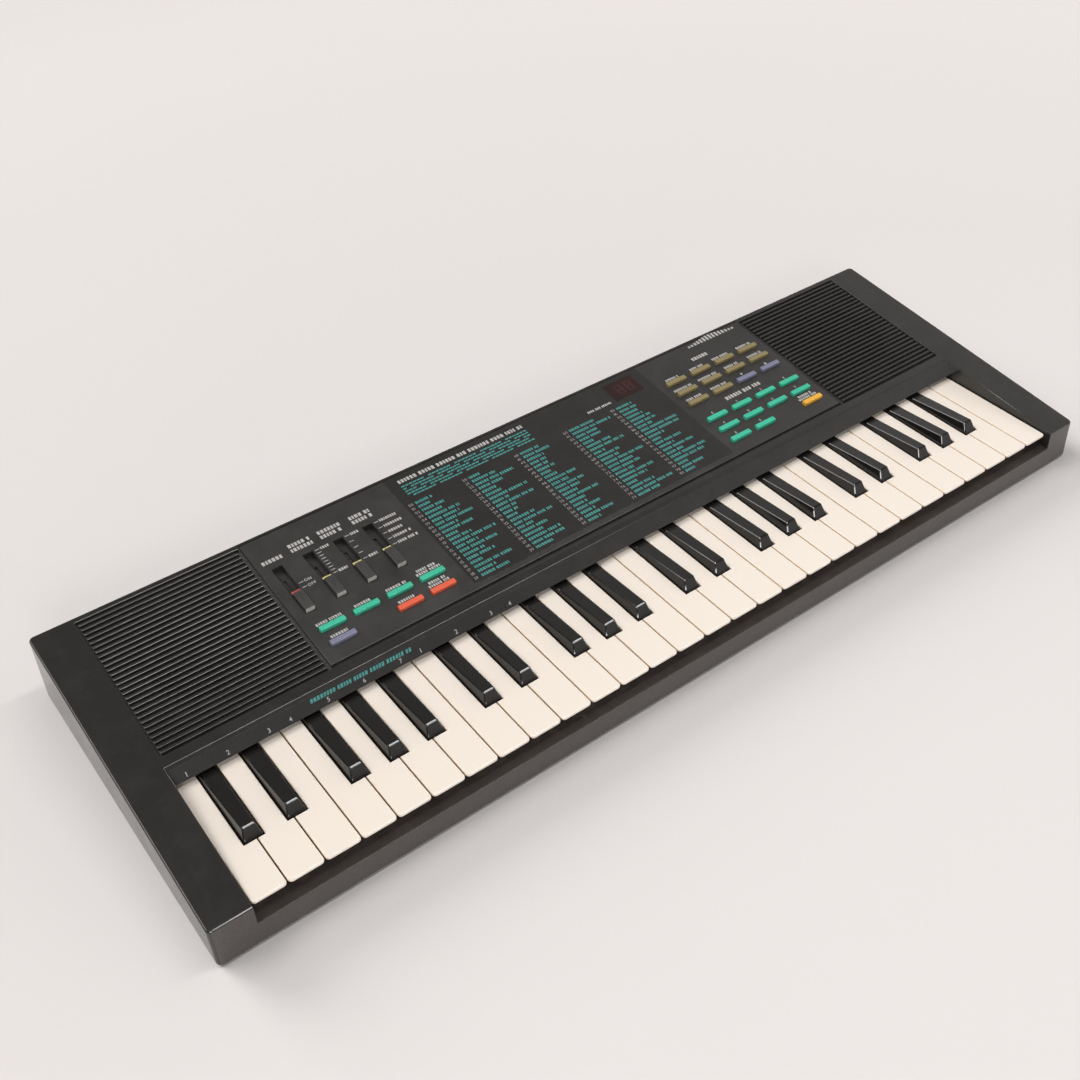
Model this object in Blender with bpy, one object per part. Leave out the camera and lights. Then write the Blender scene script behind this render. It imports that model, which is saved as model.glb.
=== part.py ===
"""A portable keyboard with forty-nine mini keys, in metres, +Z up.

The origin is on the floor under the middle of the case. The player sits at -Y.
Stations are distances behind the front face of the case. The top of the case
slopes, and everything that lies on it or hangs under it is placed in the panel
frame, whose x runs across, y up the slope from station zero, and z out of it.
"""
import math

import bmesh
import bpy
from mathutils import Matrix, Vector

MM = 0.001

# Case
CASE_DEPTH = 208.5 * MM
CHEEK_WIDTH = 22.9 * MM
FRONT_HEIGHT = 24.7 * MM
FRONT_SETBACK = 2.0 * MM
TOP_SLOPE = math.radians(6.23)
FOOT_HEIGHT = 2.0 * MM
FOOT_RADIUS = 7.0 * MM
FOOT_INSET_X = 26.0 * MM
FOOT_INSET_Y = 18.0 * MM
FOOT_SIDES = 20
WALL = 2.2 * MM
TOP_PLATE = 3.0 * MM
EDGE_ROUND = 1.0 * MM
EDGE_ROUND_STEPS = 3
CORNER_ROUND = 3.0 * MM
CORNER_ROUND_STEPS = 5
LIP_HEIGHT = 13.1 * MM
LEDGE_DEPTH = 12.0 * MM
FIT_GAP = 0.3 * MM
POST_RADIUS = 3.2 * MM
POST_SIDES = 12
SMOOTH_ANGLE = math.radians(30)

# Keys
KEY_PITCH = 20.0 * MM
KEY_GAP = 0.7 * MM
OCTAVES = 4
END_TRIM = 1.2 * MM
CHEEK_GAP = 0.8 * MM
KEY_FRONT = 5.5 * MM
KEY_LENGTH = 84.7 * MM
KEY_HEIGHT = 22.8 * MM
KEY_PLATE = 1.6 * MM
KEY_CORNER = 2.2 * MM
KEY_CORNER_STEPS = 3
KEY_TRAVEL = 4.5 * MM
KEY_SPINE_WIDTH = 6.0 * MM
KEY_SPINE_DROP = 7.8 * MM
KEY_SPINE_START = 4.0 * MM
KEY_RAMP = 8.0 * MM
PIVOT_BEHIND = 21.8 * MM
PIVOT_DROP = 4.5 * MM
NOSE_RADIUS = 1.6 * MM
NOSE_STEPS = 6
BLACK_SETBACK = 31.3 * MM
BLACK_WIDTH = 10.3 * MM
BLACK_TOP_WIDTH = 7.0 * MM
BLACK_TOP_WIDTH_REAR = 9.0 * MM
BLACK_RISE = 5.9 * MM
BLACK_RISE_REAR = 1.25 * MM
BLACK_NOSE_RUN = 4.0 * MM
BLACK_ROUND = 0.6 * MM
BLACK_ROUND_STEPS = 2
BLACK_CLEARANCE = 0.6 * MM
BLACK_TAIL_WIDTH = 8.0 * MM
C_SHARP_SHIFT = -1.35 * MM
D_SHARP_SHIFT = 2.15 * MM
F_SHARP_SHIFT = -2.2 * MM
G_SHARP_SHIFT = 0.3 * MM
A_SHARP_SHIFT = 2.85 * MM

# The sloped wall behind the keys
WALL_FOOT_AHEAD = 5.9 * MM
WALL_FOOT_CLEARANCE = 3.7 * MM
WALL_RUN = 7.2 * MM

# Control panel
PANEL_LEFT = -190.7 * MM
PANEL_RIGHT = 194.3 * MM
PANEL_FRONT = 100.2 * MM
PANEL_EDGE = 2.6 * MM
PANEL_THICKNESS = 1.2 * MM
PANEL_GROOVE = 2.2 * MM

# Speaker grilles
GRILLE_INSET = 1.4 * MM
GRILLE_GAP = 1.2 * MM
RIB_PITCH = 3.58 * MM
RIB_WIDTH = 1.6 * MM
GRILLE_EDGE = 3.0 * MM
RIB_DEPTH = 1.8 * MM
RIB_END_GAP = 1.0 * MM
SPEAKER_SLOT_WIDTH = 1.2 * MM
SPEAKER_RADIUS = 38.5 * MM
SPEAKER_DEPTH = 26.0 * MM
SPEAKER_RIM = 4.0 * MM
SPEAKER_RIM_THICKNESS = 2.5 * MM
SPEAKER_CONE_DEPTH = 9.0 * MM
SPEAKER_DOME_RADIUS = 13.0 * MM
SPEAKER_DOME_RISE = 3.0 * MM
MAGNET_RADIUS = 19.0 * MM
MAGNET_HEIGHT = 13.0 * MM
SPEAKER_SIDES = 24
SLOT_MARGIN = 4.4 * MM

# Sliders
SLIDER_FIRST_X = -180.7 * MM
SLIDER_PITCH = 19.6 * MM
SLIDER_NAMES = ("power_slider", "master_volume_slider", "accompaniment_volume_slider", "mode_slider")
SLOT_FRONT = 137.5 * MM
SLOT_WIDTH = 6.6 * MM
TRAY_DEPTH = 4.4 * MM
TRAY_WALL = 1.0 * MM
SLIT_WIDTH = 1.8 * MM
SLIDER_TRAVEL = 20.3 * MM
KNOB_GAP = 0.4 * MM
KNOB_LENGTH = 14.5 * MM
KNOB_TAB = 2.7 * MM
KNOB_RISE = 2.8 * MM
KNOB_TAB_RISE = 0.5 * MM
STEM_WIDTH = 1.0 * MM
STEM_LENGTH = 4.0 * MM

# Push buttons, as columns and rows of two blocks
BUTTON_LENGTH = 15.8 * MM
BUTTON_DEPTH = 3.4 * MM
BUTTON_RISE = 2.0 * MM
BUTTON_CORNER = 0.8 * MM
BUTTON_GAP = 0.35 * MM
BUTTON_TRAVEL = 1.0 * MM
BUTTON_PITCH = 21.45 * MM
BUTTON_ROW = 11.1 * MM
BLOCK_STEP = 18.1 * MM
LEFT_BLOCK_X = -176.0 * MM
RIGHT_BLOCK_X = 115.6 * MM
FIRST_ROW = 111.9 * MM
WEB_THICKNESS = 1.2 * MM
WEB_MARGIN = 2.0 * MM

# Circuit board under the panel
BOARD_DROP = 9.0 * MM
BOARD_THICKNESS = 1.6 * MM
BOARD_MARGIN = 6.0 * MM
CHIP_COUNT = 4
CHIP_WIDTH = 26.0 * MM
CHIP_DEPTH = 9.0 * MM
CHIP_HEIGHT = 3.2 * MM
CAPACITOR_RADIUS = 5.0 * MM
CAPACITOR_LENGTH = 11.0 * MM
CAPACITOR_SIDES = 12
CAPACITOR_COUNT = 3
CAPACITOR_FIRST_X = -150.0 * MM
CAPACITOR_GAP = 4.0 * MM
REAR_POST_COUNT = 4
REAR_POST_FIRST_X = -176.0 * MM
REAR_POST_PITCH = 90.0 * MM
REAR_POST_INSET = 11.5 * MM
FRONT_POST_X = 60.0 * MM
FRONT_POST_STATION = 132.0 * MM

# Bottom case
RIM_HEIGHT = 7.0 * MM
RIM_WIDTH = 1.6 * MM
RAIL_WIDTH = 6.0 * MM
RAIL_UPSTAND = 3.2 * MM
STRIP_WIDTH = 8.0 * MM
STRIP_STATION = 56.0 * MM
BAY_WIDTH = 190.0 * MM
BAY_FRONT = 128.0 * MM
BAY_DEPTH = 62.0 * MM
BAY_HEIGHT = 21.0 * MM
BAY_WALL = 2.0 * MM

# Rear sockets: a small phones jack and a power inlet with a pin
PHONES_X = 150.0 * MM
PHONES_BORE = 3.6 * MM
POWER_X = 176.0 * MM
POWER_BORE = 5.6 * MM
POWER_PIN = 2.0 * MM
PIN_SIDES = 8
SOCKET_BLOCK = 12.0 * MM
SOCKET_LENGTH = 14.0 * MM
SOCKET_DEPTH = 12.0 * MM
SOCKET_NOSE_WALL = 2.2 * MM
SOCKET_SIDES = 16

# Worked out from the sizes above
WHITE_COUNT = 7 * OCTAVES + 1
KEYS_HALF = WHITE_COUNT * KEY_PITCH / 2
RECESS_HALF = KEYS_HALF - END_TRIM + CHEEK_GAP
CASE_HALF = RECESS_HALF + CHEEK_WIDTH
FRONT_Y = -CASE_DEPTH / 2
BASE_Z = FOOT_HEIGHT
FLOOR_Z = BASE_Z + WALL
SLOPE = math.tan(TOP_SLOPE)
KEY_TOP = BASE_Z + KEY_HEIGHT
LIP_TOP = BASE_Z + LIP_HEIGHT
KEY_REAR = KEY_FRONT + KEY_LENGTH
PIVOT_STATION = KEY_REAR + PIVOT_BEHIND
PIVOT_Z = KEY_TOP - PIVOT_DROP
SPINE_BOTTOM = KEY_TOP - KEY_SPINE_DROP
KEY_ANGLE = math.asin(KEY_TRAVEL / (PIVOT_STATION - KEY_FRONT))
UNDERSIDE = -TOP_PLATE
PANEL_TOP = 0.0
PANEL_BOTTOM = PANEL_TOP - PANEL_THICKNESS
KNOB_TOTAL = KNOB_LENGTH + KNOB_TAB
SLOT_LENGTH = KNOB_TOTAL + SLIDER_TRAVEL + 2 * KNOB_GAP
WEB_TOP = UNDERSIDE - FIT_GAP
WEB_BOTTOM = WEB_TOP - WEB_THICKNESS
BOARD_TOP = -BOARD_DROP
FIRST_GROOVE = PANEL_FRONT - PANEL_GROOVE
LEFT_GRILLE = (-RECESS_HALF + GRILLE_INSET, PANEL_LEFT - FIT_GAP - GRILLE_GAP)
RIGHT_GRILLE = (PANEL_RIGHT + FIT_GAP + GRILLE_GAP, RECESS_HALF - GRILLE_INSET)
SOCKETS = ((PHONES_X, PHONES_BORE / 2), (POWER_X, POWER_BORE / 2))
CASE_POST_X = CASE_HALF - CHEEK_WIDTH / 2
CASE_POSTS = [(side * CASE_POST_X, station) for side in (-1, 1)
              for station in (FOOT_INSET_Y, CASE_DEPTH / 2, CASE_DEPTH - FOOT_INSET_Y)]

# The gap between white keys that each black key of an octave stands over, and how far off it
BLACK_KEYS = ((1, C_SHARP_SHIFT), (2, D_SHARP_SHIFT), (4, F_SHARP_SHIFT), (5, G_SHARP_SHIFT),
              (6, A_SHARP_SHIFT))
# Rows of the button blocks, bottom row first, as the columns that hold a button
LEFT_ROWS = ((0, 2, 3), (0, 1, 2, 3))
RIGHT_LOWER_ROWS = ((0, 1, 3), (0, 1, 2, 3), (0, 1, 2, 3))
RIGHT_UPPER_ROWS = ((0, 1, 2, 3), (0, 1, 2, 3), (0, 1, 2, 3))


def top_height(station):
    """Height of the sloping top over the floor."""
    return BASE_Z + FRONT_HEIGHT + (station - FRONT_SETBACK) * SLOPE


REAR_TOP = (CASE_DEPTH - SLOPE * (FRONT_HEIGHT - FRONT_SETBACK * SLOPE)) / (1 + SLOPE * SLOPE)
PANEL_FRAME = (Matrix.Translation((0, FRONT_Y, top_height(0.0)))
               @ Matrix.Rotation(TOP_SLOPE, 4, 'X'))


def up_slope(station):
    """Distance along the slope, in the panel frame, of a station."""
    return station / math.cos(TOP_SLOPE)


REAR_FACE = up_slope(REAR_TOP)
PANEL_REAR = REAR_FACE - PANEL_EDGE
FIRST_RIB = up_slope(FIRST_GROOVE)
GROOVE_WIDTH = RIB_PITCH - RIB_WIDTH
GROOVE_COUNT = int((REAR_FACE - GRILLE_EDGE - FIRST_RIB - GROOVE_WIDTH) / RIB_PITCH) + 1
GRILLE_MIDDLE = FIRST_RIB + ((GROOVE_COUNT - 1) * RIB_PITCH + GROOVE_WIDTH) / 2
REAR_POSTS = [(REAR_POST_FIRST_X + index * REAR_POST_PITCH, REAR_FACE - REAR_POST_INSET)
              for index in range(REAR_POST_COUNT)]
BOARD_POSTS = REAR_POSTS + [(side * FRONT_POST_X, up_slope(FRONT_POST_STATION)) for side in (-1, 1)]


def make_material(name, colour, roughness, metallic=0.0):
    material = bpy.data.materials.new(name)
    material.use_nodes = True
    shader = material.node_tree.nodes["Principled BSDF"]
    shader.inputs["Base Color"].default_value = (*colour, 1.0)
    shader.inputs["Roughness"].default_value = roughness
    shader.inputs["Metallic"].default_value = metallic
    return material


def make_object(name, verts, faces):
    mesh = bpy.data.meshes.new(name)
    mesh.from_pydata([tuple(v) for v in verts], [], faces)
    made = bpy.data.objects.new(name, mesh)
    bpy.context.collection.objects.link(made)
    work = bmesh.new()
    work.from_mesh(mesh)
    bmesh.ops.remove_doubles(work, verts=work.verts, dist=1e-7)
    bmesh.ops.recalc_face_normals(work, faces=work.faces)
    work.to_mesh(mesh)
    work.free()
    return made


def extrude_outline(name, outline, low, high, place):
    """A prism: place(a, b, c) turns an outline point and a height into a position."""
    count = len(outline)
    verts = [place(a, b, low) for a, b in outline] + [place(a, b, high) for a, b in outline]
    faces = [tuple(range(count)), tuple(range(2 * count - 1, count - 1, -1))]
    faces += [(i, (i + 1) % count, count + (i + 1) % count, count + i) for i in range(count)]
    return make_object(name, verts, faces)


def side_prism(name, profile, x_low, x_high):
    """A prism along X with a profile of stations and heights."""
    return extrude_outline(name, profile, x_low, x_high,
                           lambda station, z, x: (x, FRONT_Y + station, z))


def panel_prism(name, outline, low, high):
    """A prism in the panel frame, out of the slope, with an outline of x and distance up the slope."""
    return extrude_outline(name, outline, low, high, lambda x, y, z: PANEL_FRAME @ Vector((x, y, z)))


def rectangle(x_low, x_high, y_low, y_high):
    return [(x_low, y_low), (x_high, y_low), (x_high, y_high), (x_low, y_high)]


def chamfered(x_low, x_high, y_low, y_high, cut):
    return [(x_low + cut, y_low), (x_high - cut, y_low), (x_high, y_low + cut), (x_high, y_high - cut),
            (x_high - cut, y_high), (x_low + cut, y_high), (x_low, y_high - cut), (x_low, y_low + cut)]


def panel_box(name, x_low, x_high, y_low, y_high, z_low, z_high):
    return panel_prism(name, rectangle(x_low, x_high, y_low, y_high), z_low, z_high)


def box(name, x_low, x_high, station_low, station_high, z_low, z_high):
    return side_prism(name, rectangle(station_low, station_high, z_low, z_high), x_low, x_high)


def circle(x, y, radius, sides):
    return [(x + radius * math.cos(2 * math.pi * i / sides), y + radius * math.sin(2 * math.pi * i / sides))
            for i in range(sides)]


def post(name, x, station, radius, z_low, z_high, sides):
    """An upright round post on a plan of x and stations."""
    return extrude_outline(name, circle(x, station, radius, sides), z_low, z_high,
                           lambda px, py, z: (px, FRONT_Y + py, z))


def gather(name, pieces):
    """One object out of pieces that lie apart, for use as a single tool."""
    work = bmesh.new()
    for piece in pieces:
        work.from_mesh(piece.data)
        bpy.data.objects.remove(piece)
    mesh = bpy.data.meshes.new(name)
    work.to_mesh(mesh)
    work.free()
    gathered = bpy.data.objects.new(name, mesh)
    bpy.context.collection.objects.link(gathered)
    return gathered


def combine(target, tool, operation):
    """Cuts the tool from the target or welds it on, and removes the tool."""
    change = target.modifiers.new("combine", 'BOOLEAN')
    change.operation = operation
    change.solver = 'EXACT'
    change.object = tool
    shape = target.evaluated_get(bpy.context.evaluated_depsgraph_get())
    result = bpy.data.meshes.new_from_object(shape)
    target.modifiers.clear()
    target.data = result
    bpy.data.objects.remove(tool)


def cut(target, tool):
    combine(target, tool, 'DIFFERENCE')


def weld(target, tool):
    combine(target, tool, 'UNION')


def lies_above(height):
    """A test for edges that lie wholly above a height."""
    return lambda edge: min(vert.co.z for vert in edge.verts) > height


def passes_through(height):
    """A test for edges that start below a height and end above it."""
    return lambda edge: (min(vert.co.z for vert in edge.verts) < height
                         < max(vert.co.z for vert in edge.verts))


def bevel_edges(target, width, segments, chosen):
    """Rounds the edges that pass the test."""
    work = bmesh.new()
    work.from_mesh(target.data)
    edges = [edge for edge in work.edges if chosen(edge)]
    bmesh.ops.bevel(work, geom=edges, offset=width, segments=segments, affect='EDGES', profile=0.5)
    work.to_mesh(target.data)
    work.free()


def finish(target, material, origin=(0.0, 0.0, 0.0)):
    """Gives the object its material, and its origin where its joint's axis lies."""
    target.data.transform(Matrix.Translation(-Vector(origin)))
    target.location = origin
    target.data.materials.clear()
    target.data.materials.append(material)
    target.data.shade_smooth()
    target.data.set_sharp_from_angle(angle=SMOOTH_ANGLE)


def button_centres():
    """Centres of all push buttons, as x and distance up the slope."""
    blocks = ((LEFT_BLOCK_X, FIRST_ROW, LEFT_ROWS), (RIGHT_BLOCK_X, FIRST_ROW, RIGHT_LOWER_ROWS),
              (RIGHT_BLOCK_X, FIRST_ROW + 2 * BUTTON_ROW + BLOCK_STEP, RIGHT_UPPER_ROWS))
    return [(x + column * BUTTON_PITCH, up_slope(station + row * BUTTON_ROW))
            for x, station, rows in blocks for row, columns in enumerate(rows) for column in columns]


def block_boxes(margin):
    """The rectangles that enclose the button blocks, each grown by a margin."""
    wide = 3 * BUTTON_PITCH
    half_x = BUTTON_LENGTH / 2 + margin
    half_y = BUTTON_DEPTH / 2 + margin
    upper = FIRST_ROW + 2 * BUTTON_ROW + BLOCK_STEP
    spans = ((LEFT_BLOCK_X, FIRST_ROW, len(LEFT_ROWS)), (RIGHT_BLOCK_X, FIRST_ROW, len(RIGHT_LOWER_ROWS)),
             (RIGHT_BLOCK_X, upper, len(RIGHT_UPPER_ROWS)))
    return [(x - half_x, x + wide + half_x, up_slope(station) - half_y,
             up_slope(station + (rows - 1) * BUTTON_ROW) + half_y) for x, station, rows in spans]


def slider_x(index):
    return SLIDER_FIRST_X + index * SLIDER_PITCH


def tray_box(index, margin):
    """The rectangle of a slider's slot, grown by a margin."""
    x = slider_x(index)
    front = up_slope(SLOT_FRONT)
    return (x - SLOT_WIDTH / 2 - margin, x + SLOT_WIDTH / 2 + margin,
            front - margin, front + SLOT_LENGTH + margin)


def make_upper_case():
    outline = [(0, BASE_Z), (FRONT_SETBACK, top_height(FRONT_SETBACK)), (REAR_TOP, top_height(REAR_TOP)),
               (CASE_DEPTH, BASE_Z)]
    case = side_prism("upper_case", outline, -CASE_HALF, CASE_HALF)
    bevel_edges(case, CORNER_ROUND, CORNER_ROUND_STEPS, passes_through(BASE_Z + WALL))
    bevel_edges(case, EDGE_ROUND, EDGE_ROUND_STEPS, lies_above(BASE_Z + WALL))
    hollow_keys_and_body(case)
    cut_panel_seat(case)
    cut_grilles(case)
    add_case_posts(case)
    cut_socket_holes(case)
    return case


def hollow_keys_and_body(case):
    """Cuts the key recess with its lip and sloped wall, the space behind it, and the cheeks."""
    below = BASE_Z - WALL
    above = top_height(CASE_DEPTH) + WALL
    foot = KEY_REAR - WALL_FOOT_AHEAD
    foot_z = KEY_TOP + WALL_FOOT_CLEARANCE
    wall_top = foot + WALL_RUN
    lean = WALL_RUN / (top_height(wall_top) - foot_z)
    thickness = WALL * math.hypot(1.0, lean)
    under = TOP_PLATE / math.cos(TOP_SLOPE)
    run = (top_height(foot + thickness) - under - foot_z) / (1.0 - lean * SLOPE)
    inner_top = (foot + thickness + lean * run, foot_z + run)
    inner_rear = REAR_TOP - WALL / math.cos(TOP_SLOPE)
    rear_foot = CASE_DEPTH + (BASE_Z - below) * SLOPE - WALL / math.cos(TOP_SLOPE)
    corner = inner_rear + SLOPE * (under + WALL * math.sin(TOP_SLOPE)) / (1 + SLOPE * SLOPE)
    rear_side = [(corner, top_height(corner) - under), (rear_foot, below)]
    recess = [(WALL, below), (WALL, LIP_TOP - WALL), (LEDGE_DEPTH, LIP_TOP - WALL), (LEDGE_DEPTH, LIP_TOP),
              (-WALL, LIP_TOP), (-WALL, above), (foot + lean * (above - foot_z), above), (foot, foot_z),
              (foot + thickness, foot_z), inner_top]
    cut(case, side_prism("recess", recess + rear_side, -RECESS_HALF, RECESS_HALF))
    cheek = [(WALL, below), (WALL, FLOOR_Z + RIM_HEIGHT + WALL),
             (WALL + FRONT_SETBACK, top_height(WALL + FRONT_SETBACK) - under)]
    over_floor = FLOOR_Z + FIT_GAP
    doorway_top = foot_z + WALL
    doorway = [(WALL / 2, below), (WALL / 2, over_floor), (wall_top + 2 * WALL, over_floor),
               (wall_top + 2 * WALL, doorway_top), (corner - WALL, doorway_top), (corner - WALL, over_floor),
               (CASE_DEPTH - WALL / 2, over_floor), (CASE_DEPTH - WALL / 2, below)]
    for side in (-1, 1):
        ends = sorted((side * (RECESS_HALF + WALL), side * (CASE_HALF - WALL)))
        cut(case, side_prism("cheek_space", cheek + rear_side, *ends))
        ends = sorted((side * (RECESS_HALF - WALL), side * (RECESS_HALF + 2 * WALL)))
        cut(case, side_prism("doorway", doorway, *ends))


def cut_panel_seat(case):
    """The seat of the control panel, with the groove in front of it, and the windows under it."""
    cut(case, panel_box("seat", PANEL_LEFT - FIT_GAP, PANEL_RIGHT + FIT_GAP, FIRST_RIB, PANEL_REAR + FIT_GAP,
                        PANEL_BOTTOM - FIT_GAP, WALL))
    windows = [panel_box("window", *area, UNDERSIDE - WALL, WALL) for area in block_boxes(BUTTON_GAP)]
    windows += [panel_box("window", *tray_box(index, TRAY_WALL + FIT_GAP), UNDERSIDE - WALL, WALL)
                for index in range(len(SLIDER_NAMES))]
    cut(case, gather("windows", windows))


def cut_grilles(case):
    """A sunk field for each grille, the ribs that stand in it, and the slots over each speaker."""
    fields = []
    ribs = []
    slots = []
    last = FIRST_RIB + (GROOVE_COUNT - 1) * RIB_PITCH + GROOVE_WIDTH
    for left, right in (LEFT_GRILLE, RIGHT_GRILLE):
        speaker = (left + right) / 2
        fields.append(panel_box("field", left, right, FIRST_RIB, last, -RIB_DEPTH, WALL))
        for index in range(GROOVE_COUNT):
            front = FIRST_RIB + index * RIB_PITCH
            rear = front + GROOVE_WIDTH
            if index < GROOVE_COUNT - 1:
                ribs.append(panel_box("rib", left + RIB_END_GAP, right - RIB_END_GAP, rear,
                                      rear + RIB_WIDTH, -RIB_DEPTH - FIT_GAP, PANEL_TOP))
            offset = (front + rear) / 2 - GRILLE_MIDDLE
            reach = SPEAKER_RADIUS - SLOT_MARGIN
            if abs(offset) < reach - RIB_PITCH:
                half = math.sqrt(reach * reach - offset * offset)
                low = (front + rear - SPEAKER_SLOT_WIDTH) / 2
                slots.append(panel_box("slot", speaker - half, speaker + half, low, low + SPEAKER_SLOT_WIDTH,
                                       UNDERSIDE - WALL, WALL))
    cut(case, gather("fields", fields))
    weld(case, gather("ribs", ribs))
    cut(case, gather("slots", slots))


def add_case_posts(case):
    """Screw posts down to the bottom case, and short ones that carry the circuit board."""
    posts = [post("post", x, station, POST_RADIUS, FLOOR_Z + FIT_GAP, top_height(station) - TOP_PLATE / 2,
                  POST_SIDES) for x, station in CASE_POSTS]
    for x, y in BOARD_POSTS:
        posts.append(panel_prism("post", circle(x, y, POST_RADIUS, POST_SIDES), BOARD_TOP + FIT_GAP,
                                 UNDERSIDE + FIT_GAP))
    weld(case, gather("posts", posts))


def cut_socket_holes(case):
    """Round holes in the rear wall for the noses of the sockets."""
    holes = [rear_cylinder("hole", x, radius + SOCKET_NOSE_WALL + FIT_GAP, REAR_FACE - 2 * WALL,
                           REAR_FACE + WALL, SOCKET_SIDES) for x, radius in SOCKETS]
    cut(case, gather("holes", holes))


def rear_cylinder(name, x, radius, y_low, y_high, sides):
    """A cylinder along the slope, on the height of the rear sockets."""
    drop = BOARD_TOP - BOARD_THICKNESS - SOCKET_BLOCK / 2
    return extrude_outline(name, circle(x, drop, radius, sides), y_low, y_high,
                           lambda px, pz, y: PANEL_FRAME @ Vector((px, y, pz)))


def make_control_panel():
    panel = panel_box("control_panel", PANEL_LEFT, PANEL_RIGHT, up_slope(PANEL_FRONT), PANEL_REAR,
                      PANEL_BOTTOM, PANEL_TOP)
    trays = [panel_box("tray", *tray_box(index, TRAY_WALL), -TRAY_DEPTH - TRAY_WALL, PANEL_BOTTOM / 2)
             for index in range(len(SLIDER_NAMES))]
    weld(panel, gather("trays", trays))
    openings = [panel_box("slot", *tray_box(index, 0.0), -TRAY_DEPTH, WALL)
                for index in range(len(SLIDER_NAMES))]
    half_x = BUTTON_LENGTH / 2 + BUTTON_GAP
    half_y = BUTTON_DEPTH / 2 + BUTTON_GAP
    for x, y in button_centres():
        outline = chamfered(x - half_x, x + half_x, y - half_y, y + half_y, BUTTON_CORNER)
        openings.append(panel_prism("hole", outline, PANEL_BOTTOM - WALL, WALL))
    cut(panel, gather("openings", openings))
    slits = []
    for index in range(len(SLIDER_NAMES)):
        x = slider_x(index)
        low = up_slope(SLOT_FRONT) + stem_offset() - KNOB_GAP
        slits.append(panel_box("slit", x - SLIT_WIDTH / 2, x + SLIT_WIDTH / 2, low,
                               low + STEM_LENGTH + SLIDER_TRAVEL + 2 * KNOB_GAP,
                               -TRAY_DEPTH - 2 * WALL, -TRAY_DEPTH + WALL))
    cut(panel, gather("slits", slits))
    return panel


def stem_offset():
    """From the front end of a slot to the front of the knob's stem at rest."""
    return KNOB_GAP + (KNOB_LENGTH - STEM_LENGTH) / 2


def make_slider(index):
    """A slide knob: a raised block with a low pointer tab behind it, on a stem through the slit."""
    x = slider_x(index)
    front = up_slope(SLOT_FRONT) + KNOB_GAP
    half = SLOT_WIDTH / 2 - KNOB_GAP
    floor = -TRAY_DEPTH + FIT_GAP
    profile = [(front, floor), (front, KNOB_RISE), (front + KNOB_LENGTH, KNOB_RISE),
               (front + KNOB_LENGTH, KNOB_TAB_RISE), (front + KNOB_TOTAL, KNOB_TAB_RISE),
               (front + KNOB_TOTAL, floor)]
    knob = extrude_outline(SLIDER_NAMES[index], profile, x - half, x + half,
                           lambda y, z, px: PANEL_FRAME @ Vector((px, y, z)))
    stem = up_slope(SLOT_FRONT) + stem_offset()
    weld(knob, panel_box("stem", x - STEM_WIDTH / 2, x + STEM_WIDTH / 2, stem, stem + STEM_LENGTH,
                         -TRAY_DEPTH - TRAY_WALL, floor + FIT_GAP))
    return knob, PANEL_FRAME @ Vector((x, front, 0.0))


def make_button_set():
    """All push-button caps on the one spring web under the case's top."""
    (left, left_end, front, left_rear), (right, right_end, *_), (*_, right_rear) = block_boxes(WEB_MARGIN)
    bridge = front + BUTTON_ROW / 2
    outline = [(left, front), (right_end, front), (right_end, right_rear), (right, right_rear),
               (right, bridge), (left_end, bridge), (left_end, left_rear), (left, left_rear)]
    buttons = panel_prism("button_set", outline, WEB_BOTTOM, WEB_TOP)
    caps = [panel_prism("cap", chamfered(x - BUTTON_LENGTH / 2, x + BUTTON_LENGTH / 2, y - BUTTON_DEPTH / 2,
                                         y + BUTTON_DEPTH / 2, BUTTON_CORNER),
                        (WEB_TOP + WEB_BOTTOM) / 2, BUTTON_RISE) for x, y in button_centres()]
    weld(buttons, gather("caps", caps))
    return buttons


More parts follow.
